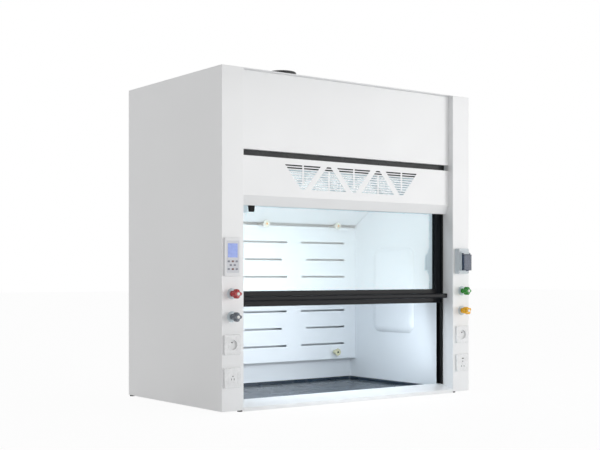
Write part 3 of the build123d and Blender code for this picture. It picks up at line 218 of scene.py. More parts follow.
def smoked(name):
    """Dark blue see-through cover with worn gloss."""
    g = Graph(name)
    g.set(Base_Color=(0.03, 0.06, 0.13, 1), Transmission_Weight=0.6, IOR=1.45)
    g.roughness(g.ramp(g.noise(25.0, 4.0), (0.3, 0.05), (0.7, 0.14)))
    return g.mat


def glazed(name):
    """Dark blue-grey glaze: fine speckle and a slightly uneven gloss."""
    g = Graph(name)
    speck = g.noise(900.0, 2.0)
    g.colour(g.ramp(speck, (0.42, (0.020, 0.033, 0.050)), (0.62, (0.028, 0.044, 0.066))))
    g.roughness(g.ramp(g.noise(9.0, 4.0), (0.3, 0.25), (0.7, 0.31)))
    g.bump(g.noise(60.0, 3.0), 0.005, 0.0004)
    g.set(Specular_IOR_Level=0.35, Coat_Weight=0.1, Coat_Roughness=0.15)
    return g.mat


# Each finish: how it is made, then its colour and what else the maker of it takes.
FINISHES = {
    "shell_white": (powder_coat, (0.86, 0.865, 0.87)),
    "liner_white": (sheet_plastic, (0.85, 0.885, 0.92)),
    "frame_dark": (drawn_frame, (0.004, 0.0045, 0.0065), (0.6, 260.0, 260.0)),
    "stile_dark": (drawn_frame, (0.005, 0.007, 0.010), (260.0, 260.0, 0.6)),
    "track_black": (sheet_plastic, (0.003, 0.0035, 0.004), 0.35),
    "strip_black": (sheet_plastic, (0.012, 0.014, 0.016), 0.3),
    "rubber_black": (sheet_plastic, (0.012, 0.012, 0.012), 0.7, 600.0),
    "lamp_steel": (powder_coat, (0.75, 0.76, 0.77)),
    "knob_cream": (gloss_moulding, (0.82, 0.79, 0.68)),
    "collar_black": (gloss_moulding, (0.012, 0.012, 0.014), 0.28),
    "shaft_steel": (metal, (0.6, 0.61, 0.62), 0.25, (2.0, 500.0, 500.0)),
    "rope_steel": (metal, (0.5, 0.5, 0.52), 0.35),
    "weight_iron": (powder_coat, (0.09, 0.09, 0.1), 0.6),
    "bracket_zinc": (metal, (0.62, 0.62, 0.58), 0.38),
    "valve_brass": (metal, (0.72, 0.52, 0.22), 0.28),
    "flange_pale": (gloss_moulding, (0.62, 0.7, 0.74)),
    "knob_red": (gloss_moulding, (0.42, 0.002, 0.008)),
    "knob_grey": (gloss_moulding, (0.12, 0.14, 0.17)),
    "knob_green": (gloss_moulding, (0.008, 0.27, 0.012)),
    "knob_yellow": (gloss_moulding, (0.92, 0.46, 0.002)),
    "socket_white": (gloss_moulding, (0.87, 0.875, 0.88), 0.24),
    "panel_white": (sheet_plastic, (0.84, 0.845, 0.86), 0.45, 700.0),
    "key_grey": (gloss_moulding, (0.25, 0.27, 0.31), 0.35),
    "key_brown": (gloss_moulding, (0.2, 0.1, 0.09), 0.35),
    "switch_grey": (sheet_plastic, (0.62, 0.67, 0.7), 0.35, 500.0),
    "toggle_dark": (gloss_moulding, (0.02, 0.025, 0.04)),
    "sash_glass": (clear_glass,),
    "lamp_glass": (frosted_lamp,),
    "display_blue": (lit_display,),
    "cover_smoke": (smoked,),
    "glaze_dark": (glazed,),
    "cap_white": (gloss_moulding, (0.84, 0.84, 0.82)),
    "brass_insert": (gloss_moulding, (0.84, 0.42, 0.02)),
    # Near-black: the earth pins' own colour, and painted shade on the dark discs and blocks that
    # stand for the shade inside holes.
    "contact_dark": (sheet_plastic, (0.02, 0.02, 0.022), 0.5),
    "panel_grey": (sheet_plastic, (0.66, 0.67, 0.71), 0.4, 700.0),
    "screw_steel": (metal, (0.55, 0.56, 0.58), 0.3),
    "knob_aged": (gloss_moulding, (0.76, 0.73, 0.5)),
}
materials = {name: maker(name, *values) for name, (maker, *values) in FINISHES.items()}

# The stiles stand upright, so their streaks run upright too.
UPRIGHT = {"sash_stile_left": "stile_dark", "sash_stile_right": "stile_dark"}
slot_of = {part["node"]: part["material_slot"] for part in frame["record"]["subparts"]}
for name, obj in nodes.items():
    obj.data.materials.clear()
    obj.data.materials.append(materials[UPRIGHT.get(name, slot_of[name])])


# Edges of the kept nodes: a small real radius on each, in millimetres

EDGE_RADII = {
    "upper_fascia": 0.4,
    "post_left": 0.35,
    "post_right": 0.35,
    "side_panel_left": 0.5,
    "side_panel_right": 0.5,
    "switch_box": 0.5,
    "switch_breaker": 0.4,
    "pin_sockets": 0.4,
    "switch_cover": 0.4,
    "sash_stop": 1.2,
    "worktop": 1.0,
    "breaker_toggle": 0.4,
    "counterweight": 0.6,
}


def soften(name, width):
    """Join the node's loose triangles, clear its flat faces and round its edges, by modifiers."""
    obj = nodes[name]
    weld = obj.modifiers.new("weld", "WELD")
    weld.merge_threshold = 0.01 * MM
    flat = obj.modifiers.new("flat", "DECIMATE")
    flat.decimate_type = "DISSOLVE"
    flat.angle_limit = math.radians(0.5)
    edge = obj.modifiers.new("edge", "BEVEL")
    edge.width = width * MM
    edge.segments = 2
    edge.limit_method = "ANGLE"
    edge.angle_limit = math.radians(35)
    edge.harden_normals = True


for name, width in EDGE_RADII.items():
    soften(name, width)


# Pieces made here

CRISP = 38      # an edge that turns by more than this many degrees stays crisp
POST_FACE = -0.425
BAFFLE_FACE = 0.340
BAFFLE_BACK = 0.346


class Face:
    """A flat place on the hood. Steps along u and v, and a rise out of it, are in millimetres."""

    def __init__(self, origin, u, v):
        self.origin = Vector(origin)
        self.u = Vector(u)
        self.v = Vector(v)
        self.out = self.u.cross(self.v)

    def at(self, a, b, rise):
        along = self.u * (a * MM) + self.v * (b * MM)
        return self.origin + along + self.out * (rise * MM)

    def moved(self, a, b, rise=0):
        return Face(self.at(a, b, rise), self.u, self.v)


def front_face(x, z, y=POST_FACE):
    return Face((x, y, z), RIGHT, UP)


def level_face(x=0, y=0):
    return Face((x, y, 0), RIGHT, BACK)


def circle(radius, count=40):
    step = 2 * math.pi / count
    return [(radius * math.cos(i * step), radius * math.sin(i * step)) for i in range(count)]


def rounded(width, height, radius, corner=8, middle=(0, 0)):
    """Rounded rectangle, the corners as arcs."""
    loop = []
    for quarter, (sx, sy) in enumerate(((1, 1), (-1, 1), (-1, -1), (1, -1))):
        cx = middle[0] + sx * (width / 2 - radius)
        cy = middle[1] + sy * (height / 2 - radius)
        for i in range(corner + 1):
            turn = QUARTER * (quarter + i / corner)
            loop.append((cx + radius * math.cos(turn), cy + radius * math.sin(turn)))
    return loop


def round_like(radius, corner=8):
    """Circle with as many points as a rounded outline has, two of them close at each side."""
    turns = [QUARTER * (q + i / corner * 0.97 + 0.015) for q in range(4) for i in range(corner + 1)]
    return [(radius * math.cos(turn), radius * math.sin(turn)) for turn in turns]


def lobed(lobes, outer, waist, turn=0.0, count=96):
    """Grip outline: round lobes with soft hollows between them."""
    loop = []
    for i in range(count):
        a = 2 * math.pi * i / count
        wave = 0.5 + 0.5 * math.cos(lobes * (a - turn))
        r = waist + (outer - waist) * wave ** 0.7
        loop.append((r * math.cos(a), r * math.sin(a)))
    return loop


def loft(bm, face, rings, closed=False):
    """Skin over rings of (outline, rise).

    Closed rings run back to the first, and otherwise both ends are capped.
    """
    rows = [[bm.verts.new(face.at(a, b, rise)) for a, b in loop] for loop, rise in rings]
    pairs = list(zip(rows, rows[1:]))
    if closed:
        pairs.append((rows[-1], rows[0]))
    for low, high in pairs:
        for i in range(len(low)):
            j = (i + 1) % len(low)
            bm.faces.new((low[i], low[j], high[j], high[i]))
    if not closed:
        bm.faces.new(rows[0][::-1])
        bm.faces.new(rows[-1])


def turned(bm, face, profile, count=48, closed=False):
    """Round shape from (radius, rise) steps."""
    loft(bm, face, [(circle(radius, count), rise) for radius, rise in profile], closed)


def stepped(bm, face, outline, steps):
    """One outline drawn out of a face, at a share of its size for each (share, rise) step."""
    rings = [([(a * share, b * share) for a, b in outline], rise) for share, rise in steps]
    loft(bm, face, rings)


def mesh_of(name, bm):
    mesh = bpy.data.meshes.new(name)
    bm.to_mesh(mesh)
    bm.free()
    return mesh


def mesh_as_shown(obj):
    """The object's shape with its curve filled and its modifiers run, as a plain mesh."""
    bpy.context.view_layer.update()
    shown = obj.evaluated_get(bpy.context.evaluated_depsgraph_get())
    return bpy.data.meshes.new_from_object(shown)


def placed(name, data):
    obj = bpy.data.objects.new(name, data)
    scene.collection.objects.link(obj)
    return obj


def smooth(mesh, angle):
    for polygon in mesh.polygons:
        polygon.use_smooth = True
    mesh.set_sharp_from_angle(angle=math.radians(angle))


def finished(obj, body, stands_for=()):
    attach(obj, body)
    if stands_for:
        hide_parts(*stands_for)
    return obj


def make(name, bm, body, finish, stands_for=(), angle=CRISP):
    """Turn the shape into a finished piece that rides on a body."""
    bmesh.ops.recalc_face_normals(bm, faces=bm.faces)
    mesh = mesh_of(name, bm)
    mesh.materials.append(materials[finish])
    smooth(mesh, angle)
    obj = placed(name, mesh)
    flatter = obj.modifiers.new("normals", "WEIGHTED_NORMAL")
    flatter.keep_sharp = True
    flatter.weight = 100
    return finished(obj, body, stands_for)


# Service valves: each has its place and how far its grip is turned

VALVE_X = 0.699
VALVES = {
    "red": (-VALVE_X, 0.516, 0.0),
    "grey": (-VALVE_X, 0.416, 0.0),
    "green": (VALVE_X, 0.516, 0.0),
    "yellow": (VALVE_X, 0.416, math.radians(30)),
}
SPINDLE = ((4.95, -27.5), (4.95, 6))
NECK = ((11.5, 5.8), (13, 7.2), (12.4, 14), (10.8, 22))
GRIP = (
    (0.66, 20.4), (0.84, 21.8), (0.95, 23.6), (1.0, 27.0), (1.0, 45.0),
    (0.985, 48.4), (0.94, 50.6), (0.87, 51.8), (0.62, 51.8), (0.55, 51.0),
)
GRIP_CAP = ((7, 50.2), (7, 53.6), (6.4, 54.8), (4.2, 55.5))
ROSETTE = (
    (24, 0), (24, 1.4), (23.2, 2.6), (21, 3.6), (16, 4.7), (14.5, 5.0), (5.5, 5.0), (5.5, 0),
)


def valve_knob(colour, x, z, turn):
    face = front_face(x, z)
    body = f"{colour}_valve_knob"
    finish = f"knob_{colour}"
    grip = bmesh.new()
    turned(grip, face, SPINDLE, 24)
    turned(grip, face, NECK)
    stepped(grip, face, lobed(4, 20.5, 13.2, turn), GRIP)
    make(f"valve_grip_{colour}", grip, body, finish, [f"valve_knob_{colour}"])
    cap = bmesh.new()
    turned(cap, face, GRIP_CAP, 32)
    make(f"valve_cap_{colour}", cap, body, "cap_white")


rosettes = bmesh.new()
for colour, (x, z, turn) in VALVES.items():
    valve_knob(colour, x, z, turn)
    turned(rosettes, front_face(x, z), ROSETTE, 56, closed=True)
make("valve_rosettes", rosettes, "cabinet", "flange_pale", ["valve_flanges"])


# Baffle knobs, on the studs

STUD_X = 0.481
TOP_STUD_Z = 0.867
LOW_STUD_Z = 0.170
TOP_KNOBS = [(x, TOP_STUD_Z) for x in (-STUD_X, 0.0, STUD_X)]
LOW_KNOBS = [(x, LOW_STUD_Z) for x in (-STUD_X, STUD_X)]
HAND_GRIP = (
    (0.88, 24.0), (0.97, 25.0), (1.0, 26.6), (1.0, 29.4), (0.97, 31.2),
    (0.9, 32.0), (0.66, 32.0), (0.6, 31.2), (0.3, 31.0),
)
HAND_STEM = ((11, 0), (11, 20), (13, 24.6))
INSERT = ((6, 30), (6, 32.6), (5, 33.4))
# Painted shade: a dark disc in each low knob's middle stands for the shade in its bore, in (radius,
# rise) steps.
BORE_SHADE = ((5.6, 30), (5.6, 31.7), (4.6, 32))


def hand_knobs(name, places, finish, stands_for=()):
    bm = bmesh.new()
    outline = lobed(8, 20.5, 18.2, count=112)
    for x, z in places:
        face = front_face(x, z, BAFFLE_FACE)
        stepped(bm, face, outline, HAND_GRIP)
        turned(bm, face, HAND_STEM)
    make(name, bm, "cabinet", finish, stands_for)


def knob_middles(name, places, profile, finish):
    bm = bmesh.new()
    for x, z in places:
        turned(bm, front_face(x, z, BAFFLE_FACE), profile, 24)
    make(name, bm, "cabinet", finish)


hand_knobs("hand_knobs_top", TOP_KNOBS, "knob_cream", ["baffle_knobs"])
hand_knobs("hand_knobs_low", LOW_KNOBS, "knob_aged")
knob_middles("knob_inserts", TOP_KNOBS, INSERT, "brass_insert")
# Painted shade in the low knobs' bores.
knob_middles("knob_bores", LOW_KNOBS, BORE_SHADE, "contact_dark")


# Slotted baffle, pressed from one sheet

BAFFLE_HALF = 629.7
BAFFLE_LOW = 132
BAFFLE_TOP = 859
BAFFLE_THICK = 6
NOTCH_HALF = 11.5
NOTCH_DEEP = 3.5
STUD_HOLE = 4.5
SLOT_ROWS = 7
TOP_ROW = 772
ROW_PITCH = 92.6
SLOT_TALL = 10
SLOT_END = 549
# End of the middle slot and start of the side slots, in the long rows and the short ones.
ROW_STOPS = ((153, 248), (120, 282))


def flat_plate(name, face, outlines, thickness, body, finish, stands_for=()):
    """Sheet with holes: the first outline is its edge, the others are cut through it."""
    curve = bpy.data.curves.new(name, "CURVE")
    curve.dimensions = "2D"
    curve.fill_mode = "BOTH"
    curve.extrude = thickness * MM / 2
    for loop in outlines:
        spline = curve.splines.new("POLY")
        spline.points.add(len(loop) - 1)
        for point, (a, b) in zip(spline.points, loop):
            point.co = (a * MM, b * MM, 0, 1)
        spline.use_cyclic_u = True
    outline = placed(name + "_outline", curve)
    mesh = mesh_as_shown(outline)
    bpy.data.objects.remove(outline)
    bm = bmesh.new()
    bm.from_mesh(mesh)
    bpy.data.meshes.remove(mesh)
    for vert in bm.verts:
        a, b, rise = vert.co / MM
        vert.co = face.at(a, b, rise + thickness / 2)
    bmesh.ops.remove_doubles(bm, verts=bm.verts, dist=0.01 * MM)
    plate = make(name, bm, body, finish, stands_for)
    for polygon in plate.data.polygons:
        polygon.use_smooth = abs(polygon.normal.dot(face.out)) < 0.99
    return plate


def baffle_outlines():
    """The sheet's edge, notched for the top studs, then its slots and the low studs' holes."""
    stud = STUD_X / MM
    shallow = BAFFLE_TOP - NOTCH_DEEP
    edge = [(-BAFFLE_HALF, BAFFLE_LOW), (BAFFLE_HALF, BAFFLE_LOW), (BAFFLE_HALF, BAFFLE_TOP)]
    for x in (stud, 0.0, -stud):
        right, left = x + NOTCH_HALF, x - NOTCH_HALF
        edge += [(right, BAFFLE_TOP), (right, shallow), (left, shallow), (left, BAFFLE_TOP)]
    edge.append((-BAFFLE_HALF, BAFFLE_TOP))
    loops = [edge]
    for row in range(SLOT_ROWS):
        z = TOP_ROW - row * ROW_PITCH
        middle, start = ROW_STOPS[row % 2]
        for x0, x1 in ((-middle, middle), (start, SLOT_END), (-SLOT_END, -start)):
            centre = ((x0 + x1) / 2, z)
            loops.append(rounded(x1 - x0, SLOT_TALL, 0.495 * SLOT_TALL, 5, centre))
    low = LOW_STUD_Z / MM
    for x in (-stud, stud):
        loops.append([(x + a, low + b) for a, b in circle(STUD_HOLE, 16)])
    return loops


flat_plate("slotted_baffle", front_face(0, 0, BAFFLE_BACK), baffle_outlines(), BAFFLE_THICK,
           "cabinet", "liner_white", ["baffle_lower"])


# Access covers, vacuum formed: their edge steps in by (inset, rise)

SIDE_LINER = 0.630
COVER_Y = 0.019
COVER_Z = 0.5145
COVER_WIDE = 320
COVER_TALL = 453
COVER_CORNER = 45
COVER_STEPS = (
    (0, -0.4), (0, 1.2), (2, 3.4), (6, 6.4), (12, 9.6), (19, 12.2), (26, 13.6), (33, 14),
)

covers = bmesh.new()
for wall, along in ((-SIDE_LINER, BACK), (SIDE_LINER, FRONT)):
    rings = []
    for inset, rise in COVER_STEPS:
        wide, tall = COVER_WIDE - 2 * inset, COVER_TALL - 2 * inset
        rings.append((rounded(wide, tall, COVER_CORNER - 0.7 * inset, 10), rise))
    loft(covers, Face((wall, COVER_Y, COVER_Z), along, UP), rings)
make("formed_covers", covers, "cabinet", "liner_white", ["access_covers"], 60)


# Sockets

PLATE = 86
PLATE_THICK = 9
UPPER_SOCKET = 0.294
LOWER_SOCKET = 0.151
# The round well from its rim down to its floor, in (radius, rise) steps.
WELL = ((25.5, 9), (25.0, 9.7), (22.4, 9.7), (21.5, 8.8), (20.6, -4.4), (19.8, -5))
WELL_FLOOR = -5
BACK_BOX = 54
# Painted shade: thin dark discs on each well's floor stand for the shade in the two pin holes, this
# far to each side, with their (radius, rise) steps below.
HOLE_SHADE_X = 9.5
HOLE_SHADE = ((3.6, 0), (3.4, 0.5), (2.2, 0.5))
EARTH_PIN_UP = 10
EARTH_PIN = ((2.4, 0), (2.4, 8), (1.4, 9.6))
# Holes of the lower plates: place across and up, then width and height.
PLATE_HOLES = {
    -VALVE_X: ((0, 7, 4.8, 4.8), (-6.5, -6, 2.8, 7.8), (6.5, -6, 2.8, 7.8)),
    VALVE_X: ((0, 21, 12.8, 4.3), (0, 6, 4.8, 4.8), (-9, -18, 4.8, 4.8), (9, -18, 4.8, 4.8)),
}


def plate_rings(width, height, thick, corner=4, edge=1.6):
    """Rounded moulding: outlines up its side and over its soft front edge."""
    return [
        (rounded(width, height, corner), 0.0),
        (rounded(width, height, corner), thick - edge),
        (rounded(width - 0.6 * edge, height - 0.6 * edge, corner), thick - 0.35 * edge),
        (rounded(width - 2 * edge, height - 2 * edge, corner), thick),
    ]


wells = bmesh.new()
pins_and_hole_shades = bmesh.new()
for x in (-VALVE_X, VALVE_X):
    face = front_face(x, UPPER_SOCKET)
    rings = plate_rings(PLATE, PLATE, PLATE_THICK)
    rings += [(round_like(radius), rise) for radius, rise in WELL]
    loft(wells, face, rings)
    stepped(wells, face, rounded(BACK_BOX, BACK_BOX, 3), ((1, -18), (1, -5.2)))
    # Painted shade discs for the two pin holes, then the earth pin, which is a real pin.
    for dx in (-HOLE_SHADE_X, HOLE_SHADE_X):
        turned(pins_and_hole_shades, face.moved(dx, 0, WELL_FLOOR), HOLE_SHADE, 24)
    turned(pins_and_hole_shades, face.moved(0, EARTH_PIN_UP, WELL_FLOOR), EARTH_PIN, 24)
make("socket_wells", wells, "cabinet", "socket_white", ["round_sockets"])
# Painted shade: dark blocks fill the lower plates' holes and stand for the shade inside them.
for x, holes in PLATE_HOLES.items():
    for dx, dz, width, height in holes:
        place = front_face(x, LOWER_SOCKET).moved(dx, dz)
        stepped(pins_and_hole_shades, place, rounded(width, height, 0.5, 3), ((1, -6), (1, 8.6)))
make("socket_contacts", pins_and_hole_shades, "cabinet", "contact_dark")


# Control panel

PANEL = front_face(-0.700, 0.6765)
PANEL_WIDE, PANEL_TALL, PANEL_THICK = 82, 169, 10
RECESS_WIDE, RECESS_TALL, RECESS_FLOOR = 64, 140, 9.2
WINDOW_WIDE, WINDOW_TALL, WINDOW_UP = 50, 61, 27.5
KEY_WIDE, KEY_TALL = 11, 8
KEY_STEPS = ((1, 6.4), (1, 9.9), (0.95, 10.45), (0.82, 10.6))
KEY_PITCH = 20.5
# Each row of keys: its height on the panel, and its keys' places in pitches.
KEY_ROWS = ((-20, (-1, 0, 1)), (-36, (-0.5, 0.5)), (-53.5, (-1, 0, 1)))
BROWN_KEYS = (2, 7)


def panel_shell():
    shell = bmesh.new()
    rings = plate_rings(PANEL_WIDE, PANEL_TALL, PANEL_THICK, 5, 2)
    rings.append((rounded(RECESS_WIDE + 1, RECESS_TALL + 1, 2.5), PANEL_THICK))
    rings.append((rounded(RECESS_WIDE, RECESS_TALL, 2.5), RECESS_FLOOR))
    loft(shell, PANEL, rings)
    stepped(shell, PANEL, rounded(60, 141, 2), ((1, -16), (1, 0.5)))
    make("panel_moulding", shell, "cabinet", "panel_white", ["control_panel"])
    overlay = bmesh.new()
    loft(overlay, PANEL, [
        (rounded(RECESS_WIDE - 0.4, RECESS_TALL - 0.4, 2.4), RECESS_FLOOR - 0.1),
        (rounded(RECESS_WIDE - 0.6, RECESS_TALL - 0.6, 2.4), RECESS_FLOOR + 0.15),
    ])
    make("panel_overlay", overlay, "cabinet", "panel_grey")
    window = bmesh.new()
    pane = rounded(WINDOW_WIDE, WINDOW_TALL, 1.2)
    rings = [(pane, 7), (pane, 9.5), (rounded(WINDOW_WIDE - 0.8, WINDOW_TALL - 0.8, 1), 9.8)]
    loft(window, PANEL.moved(0, WINDOW_UP), rings)
    make("panel_window", window, "cabinet", "display_blue", ["panel_display"])


def panel_key(index, x, z):
    key = bmesh.new()
    stepped(key, PANEL.moved(x, z), rounded(KEY_WIDE, KEY_TALL, 1.6, 5), KEY_STEPS)
    finish = "key_brown" if index in BROWN_KEYS else "key_grey"
    make(f"key_cap_{index}", key, f"key_{index}", finish, [f"panel_key_{index}"])


panel_shell()
key_places = [(step * KEY_PITCH, z) for z, steps in KEY_ROWS for step in steps]
for index, (x, z) in enumerate(key_places, 1):
    panel_key(index, x, z)


# Screws, on the back, the roof, the collar's flange and the switch box

ANY_WAY = 6.28      # a recess may point any way round
BACK_SEAT = 0.4236
ROOF_SEAT = 1.506
COLLAR_Y = 0.175
FLANGE_SEAT = 1.509
FLANGE_CIRCLE = 0.087
EIGHTH = 0.785
BOX_X, BOX_SEAT, BOX_Z = 0.6885, -0.452, 0.667
BOX_SCREW_X, BOX_SCREW_Z = 0.0305, 0.057
SCREW_HEAD = ((0.5, 0.0), (0.5, 0.06), (0.47, 0.16), (0.36, 0.26), (0.2, 0.3))


def screw_mesh():
    """Pan head with a cross recess, lying on z = 0, one millimetre across."""
    screw = bmesh.new()
    turned(screw, level_face(), SCREW_HEAD, 20)
    for wide, tall in ((0.34, 0.08), (0.08, 0.34)):
        stepped(screw, level_face(), rounded(wide, tall, 0.02, 1), ((1, 0.1), (1, 0.312)))
    return mesh_of("screw", screw)


def repeated(name, points, shape, size, tilt, finish, spread=0.0, seed=3):
    """Copies of a shape on points: size scales it, tilt turns it to face out.

    Spread is how far each copy may be turned about its own axis, at random.
    """
    tree = bpy.data.node_groups.new(name, "GeometryNodeTree")
    for label, kind in (("Geometry", "NodeSocketGeometry"), ("Size", "NodeSocketFloat"),
                        ("Spread", "NodeSocketFloat"), ("Seed", "NodeSocketInt")):
        tree.interface.new_socket(label, in_out="INPUT", socket_type=kind)
    tree.interface.new_socket("Geometry", in_out="OUTPUT", socket_type="NodeSocketGeometry")
    source = tree.nodes.new("NodeGroupInput").outputs
    put = tree.nodes.new("GeometryNodeInstanceOnPoints")
    put.inputs["Rotation"].default_value = tilt
    item = tree.nodes.new("GeometryNodeObjectInfo")
    stamp = placed(name + "_stamp", shape)
    item.inputs["Object"].default_value = stamp
    turn = tree.nodes.new("GeometryNodeRotateInstances")
    turn.inputs["Local Space"].default_value = True
    chance = tree.nodes.new("FunctionNodeRandomValue")
    chance.data_type = "FLOAT"
    random_value = next(s for s in chance.outputs if s.enabled and s.type == "VALUE")
    angle = tree.nodes.new("ShaderNodeMath")
    angle.operation = "MULTIPLY"
    around = tree.nodes.new("ShaderNodeCombineXYZ")
    real = tree.nodes.new("GeometryNodeRealizeInstances")
    coat = tree.nodes.new("GeometryNodeSetMaterial")
    coat.inputs["Material"].default_value = materials[finish]
    out = tree.nodes.new("NodeGroupOutput")
    for a, b in (
        (source["Geometry"], put.inputs["Points"]),
        (item.outputs["Geometry"], put.inputs["Instance"]),
        (source["Size"], put.inputs["Scale"]),
        (put.outputs[0], turn.inputs["Instances"]),
        (source["Seed"], chance.inputs["Seed"]),
        (random_value, angle.inputs[0]),
        (source["Spread"], angle.inputs[1]),
        (angle.outputs[0], around.inputs["Z"]),
        (around.outputs[0], turn.inputs["Rotation"]),
        (turn.outputs[0], real.inputs[0]),
        (real.outputs[0], coat.inputs["Geometry"]),
        (coat.outputs[0], out.inputs[0]),
    ):
        tree.links.new(a, b)
    seats = bpy.data.meshes.new(name + "_points")
    seats.from_pydata(points, [], [])
    carrier = placed(name + "_points", seats)
    maker = carrier.modifiers.new("copies", "NODES")
    maker.node_group = tree
    values = {"Size": size, "Spread": spread, "Seed": seed}
    for socket in tree.interface.items_tree:
        if socket.in_out == "INPUT" and socket.name in values:
            maker[socket.identifier] = values[socket.name]
    made = mesh_as_shown(carrier)
    carrier.modifiers.remove(maker)
    bpy.data.objects.remove(carrier)
    bpy.data.objects.remove(stamp)
    made.name = name
    smooth(made, CRISP)
    return finished(placed(name, made), "cabinet")


back_places = [
    (x, BACK_SEAT, z) for x in (-0.715, 0.715) for z in (0.06, 0.33, 0.60, 0.87, 1.14, 1.41)
]
back_places += [
    (x, BACK_SEAT, z) for z in (0.04, 1.47) for x in (-0.48, -0.24, 0.0, 0.24, 0.48)
]
roof_places = [(x, y, ROOF_SEAT) for x in (-0.738, 0.738) for y in (-0.36, -0.12, 0.12, 0.36)]
flange_places = []
for k in range(4):
    turn = k * QUARTER + EIGHTH
    x, y = FLANGE_CIRCLE * math.cos(turn), FLANGE_CIRCLE * math.sin(turn)
    flange_places.append((x, COLLAR_Y + y, FLANGE_SEAT))
box_places = [
    (BOX_X + a * BOX_SCREW_X, BOX_SEAT, BOX_Z + b * BOX_SCREW_Z) for a in (-1, 1) for b in (-1, 1)
]
screw = screw_mesh()
for name, places, size, tilt, slot in (
    ("back_screws", back_places, 9.0, (-QUARTER, 0, 0), "shell_white"),
    ("roof_screws", roof_places, 8.0, (0, 0, 0), "shell_white"),
    ("flange_screws", flange_places, 7.0, (0, 0, 0), "collar_black"),
    ("box_screws", box_places, 6.4, (QUARTER, 0, 0), "switch_grey"),
):
    repeated(name, places, screw, size, tilt, "screw_steel", ANY_WAY)


# Ribs of the collar

RIB_COUNT = 36
RIB_FOOT = 1.522
RIB_OUT = 75.2      # from the collar's axis to the middle of a rib
RIB_STEPS = ((1, 0), (1, 96), (0.992, 98.5))


def collar_ribs():
    """Upright ribs around the collar: one rib, copied by turns about the collar's axis."""
    bm = bmesh.new()
    section = rounded(4, 2.4, 1.1, 3, (RIB_OUT, 0))
    stepped(bm, level_face(), section, RIB_STEPS)
    copies = RIB_COUNT - 1
    bmesh.ops.spin(bm, geom=bm.verts[:] + bm.edges[:] + bm.faces[:], cent=(0, 0, 0), axis=UP,
                   angle=2 * math.pi * copies / RIB_COUNT, steps=copies, use_duplicate=True)
    bmesh.ops.translate(bm, verts=bm.verts, vec=(0, COLLAR_Y, RIB_FOOT))
    make("collar_ribs", bm, "cabinet", "collar_black")


collar_ribs()


# Lift ropes, six strands each

ROPE_RADIUS = 1.5
ROPE_WAIST = 1.15
ROPE_LAY = 0.022        # a strand goes round once in this length
ROPE_STEP = 0.004
# Each rope, the node that it stands for and the body at its lower end.
ROPES = (
    ("rope_front", "lift_ropes_front", "sash"),
    ("rope_rear", "lift_ropes_rear", "counterweight"),
)


def strand_rope(name, x_places, y, low, high):
    """Upright twisted ropes between two heights."""
    bm = bmesh.new()
    steps = int((high - low) / ROPE_STEP)
    for x in x_places:
        rings = []
        for k in range(steps + 1):
            z = low + (high - low) * k / steps
            turn = 2 * math.pi * z / ROPE_LAY
            rings.append((lobed(6, ROPE_RADIUS, ROPE_WAIST, turn, 24), z / MM))
        loft(bm, level_face(x, y), rings)
    bmesh.ops.recalc_face_normals(bm, faces=bm.faces)
    mesh = mesh_of(name, bm)
    mesh.materials.append(materials["rope_steel"])
    return placed(name, mesh)


for name, node, body in ROPES:
    low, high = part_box(node)
    x = high.x - ROPE_RADIUS * MM
    y = (low.y + high.y) / 2
    rope = strand_rope(name, (-x, x), y, low.z, high.z)
    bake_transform(rope)
    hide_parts(node)


# Floor, light and camera

FLOOR_WHITE = 0.93      # how much of the floor's own shade gives way to white
LAMP_BLUE = (0.84, 0.93, 1.0)
WHITE_LIGHT = (1.0, 1.0, 1.0)
# Each light: where it is, what it points at, its width and depth, its watts and its colour.
LIGHTS = {
    "key": ((3.6, -5.4, 1.3), (0, 0, 0.75), (4.0, 2.4), 98.0, WHITE_LIGHT),
    "lamp": ((0, -0.236, 1.19), (0, -0.236, 0), (0.88, 0.06), 1.15, LAMP_BLUE),
    "chamber_fill": ((0, -0.28, 0.34), (0, 0.34, 0.2), (1.1, 0.4), 2.3, LAMP_BLUE),
    "sill_glow": ((0, -0.372, 0.44), (0, -0.372, 0), (0.86, 0.03), 1.9, LAMP_BLUE),
    "vent_glow": ((0, -0.362, 1.02), (0, -0.32, 1.4), (1.2, 0.02), 0.25, LAMP_BLUE),
}


def greatest(tree, path, socket, rays):
    """The greater of a value and the path's 0 or 1 for each of these rays."""
    for ray in rays:
        either = tree.nodes.new("ShaderNodeMath")
        either.operation = "MAXIMUM"
        tree.links.new(socket, either.inputs[0])
        tree.links.new(path.outputs[ray], either.inputs[1])
        socket = either.outputs[0]
    return socket


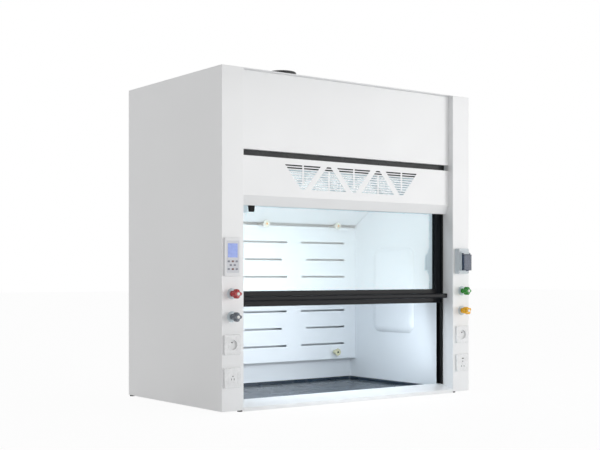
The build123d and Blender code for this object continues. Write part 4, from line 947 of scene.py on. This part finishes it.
def white_sheet():
    """Pale sheet that camera, gloss and glass see nearly white, with the object's shadow kept."""
    g = Graph("floor")
    g.set(Base_Color=(0.95, 0.95, 0.95, 1), Roughness=0.9)
    path = g.node("ShaderNodeLightPath")
    seen = greatest(g.tree, path, path.outputs["Is Camera Ray"],
                    ("Is Glossy Ray", "Is Transmission Ray"))
    share = g.node("ShaderNodeMath", operation="MULTIPLY")
    share.inputs[1].default_value = FLOOR_WHITE
    g.link(seen, share.inputs[0])
    glow = g.node("ShaderNodeEmission", Strength=1.0)
    mix = g.node("ShaderNodeMixShader")
    g.link(share.outputs[0], mix.inputs["Fac"])
    g.link(g.bsdf.outputs[0], mix.inputs[1])
    g.link(glow.outputs[0], mix.inputs[2])
    g.link(mix.outputs[0], g.tree.nodes["Material Output"].inputs["Surface"])
    return g.mat


def floor():
    """A flat pale sheet under the hood."""
    bm = bmesh.new()
    bmesh.ops.create_grid(bm, x_segments=2, y_segments=2, size=30.0)
    mesh = mesh_of("floor", bm)
    mesh.materials.append(white_sheet())
    placed("floor", mesh)


def area_light(name, where, target, size, power, colour):
    data = bpy.data.lights.new(name, "AREA")
    data.shape = "RECTANGLE"
    data.size, data.size_y = size
    data.energy = power
    data.color = colour
    obj = placed(name, data)
    obj.location = where
    aim = Vector(target) - Vector(where)
    obj.rotation_euler = aim.to_track_quat("-Z", "Y").to_euler()


def soft_world():
    """Even studio surround, white behind the object and dimmer on the camera's side."""
    world = bpy.data.worlds.new("world")
    world.use_nodes = True
    tree = world.node_tree
    coords = tree.nodes.new("ShaderNodeTexCoord")
    along = tree.nodes.new("ShaderNodeVectorMath")
    along.operation = "DOT_PRODUCT"
    along.inputs[1].default_value = (0.6, 0.8, 0.0)
    ramp = tree.nodes.new("ShaderNodeMapRange")
    ramp.inputs["From Min"].default_value = -1.0
    ramp.inputs["To Min"].default_value = 0.42
    ramp.inputs["To Max"].default_value = 1.0
    tree.links.new(coords.outputs["Generated"], along.inputs[0])
    tree.links.new(along.outputs["Value"], ramp.inputs["Value"])
    path = tree.nodes.new("ShaderNodeLightPath")
    strength = greatest(tree, path, ramp.outputs["Result"],
                        ("Is Camera Ray", "Is Glossy Ray", "Is Transmission Ray"))
    tree.links.new(strength, tree.nodes["Background"].inputs["Strength"])
    tree.nodes["Background"].inputs["Color"].default_value = (1, 1, 1, 1)
    scene.world = world


floor()
for name, values in LIGHTS.items():
    area_light(name, *values)
for pane in ("sash_glass", "switch_cover"):
    nodes[pane].visible_shadow = False
soft_world()
scene.view_settings.view_transform = "Standard"

camera = bpy.data.cameras.new("camera")
camera.sensor_width = 36.0
camera.lens = 65.47
camera.shift_y = 0.0819
view = placed("camera", camera)
view.location = (-3.293, -4.395, 0.601)
view.rotation_euler = (math.radians(90), 0, math.radians(-36.736))
scene.camera = view
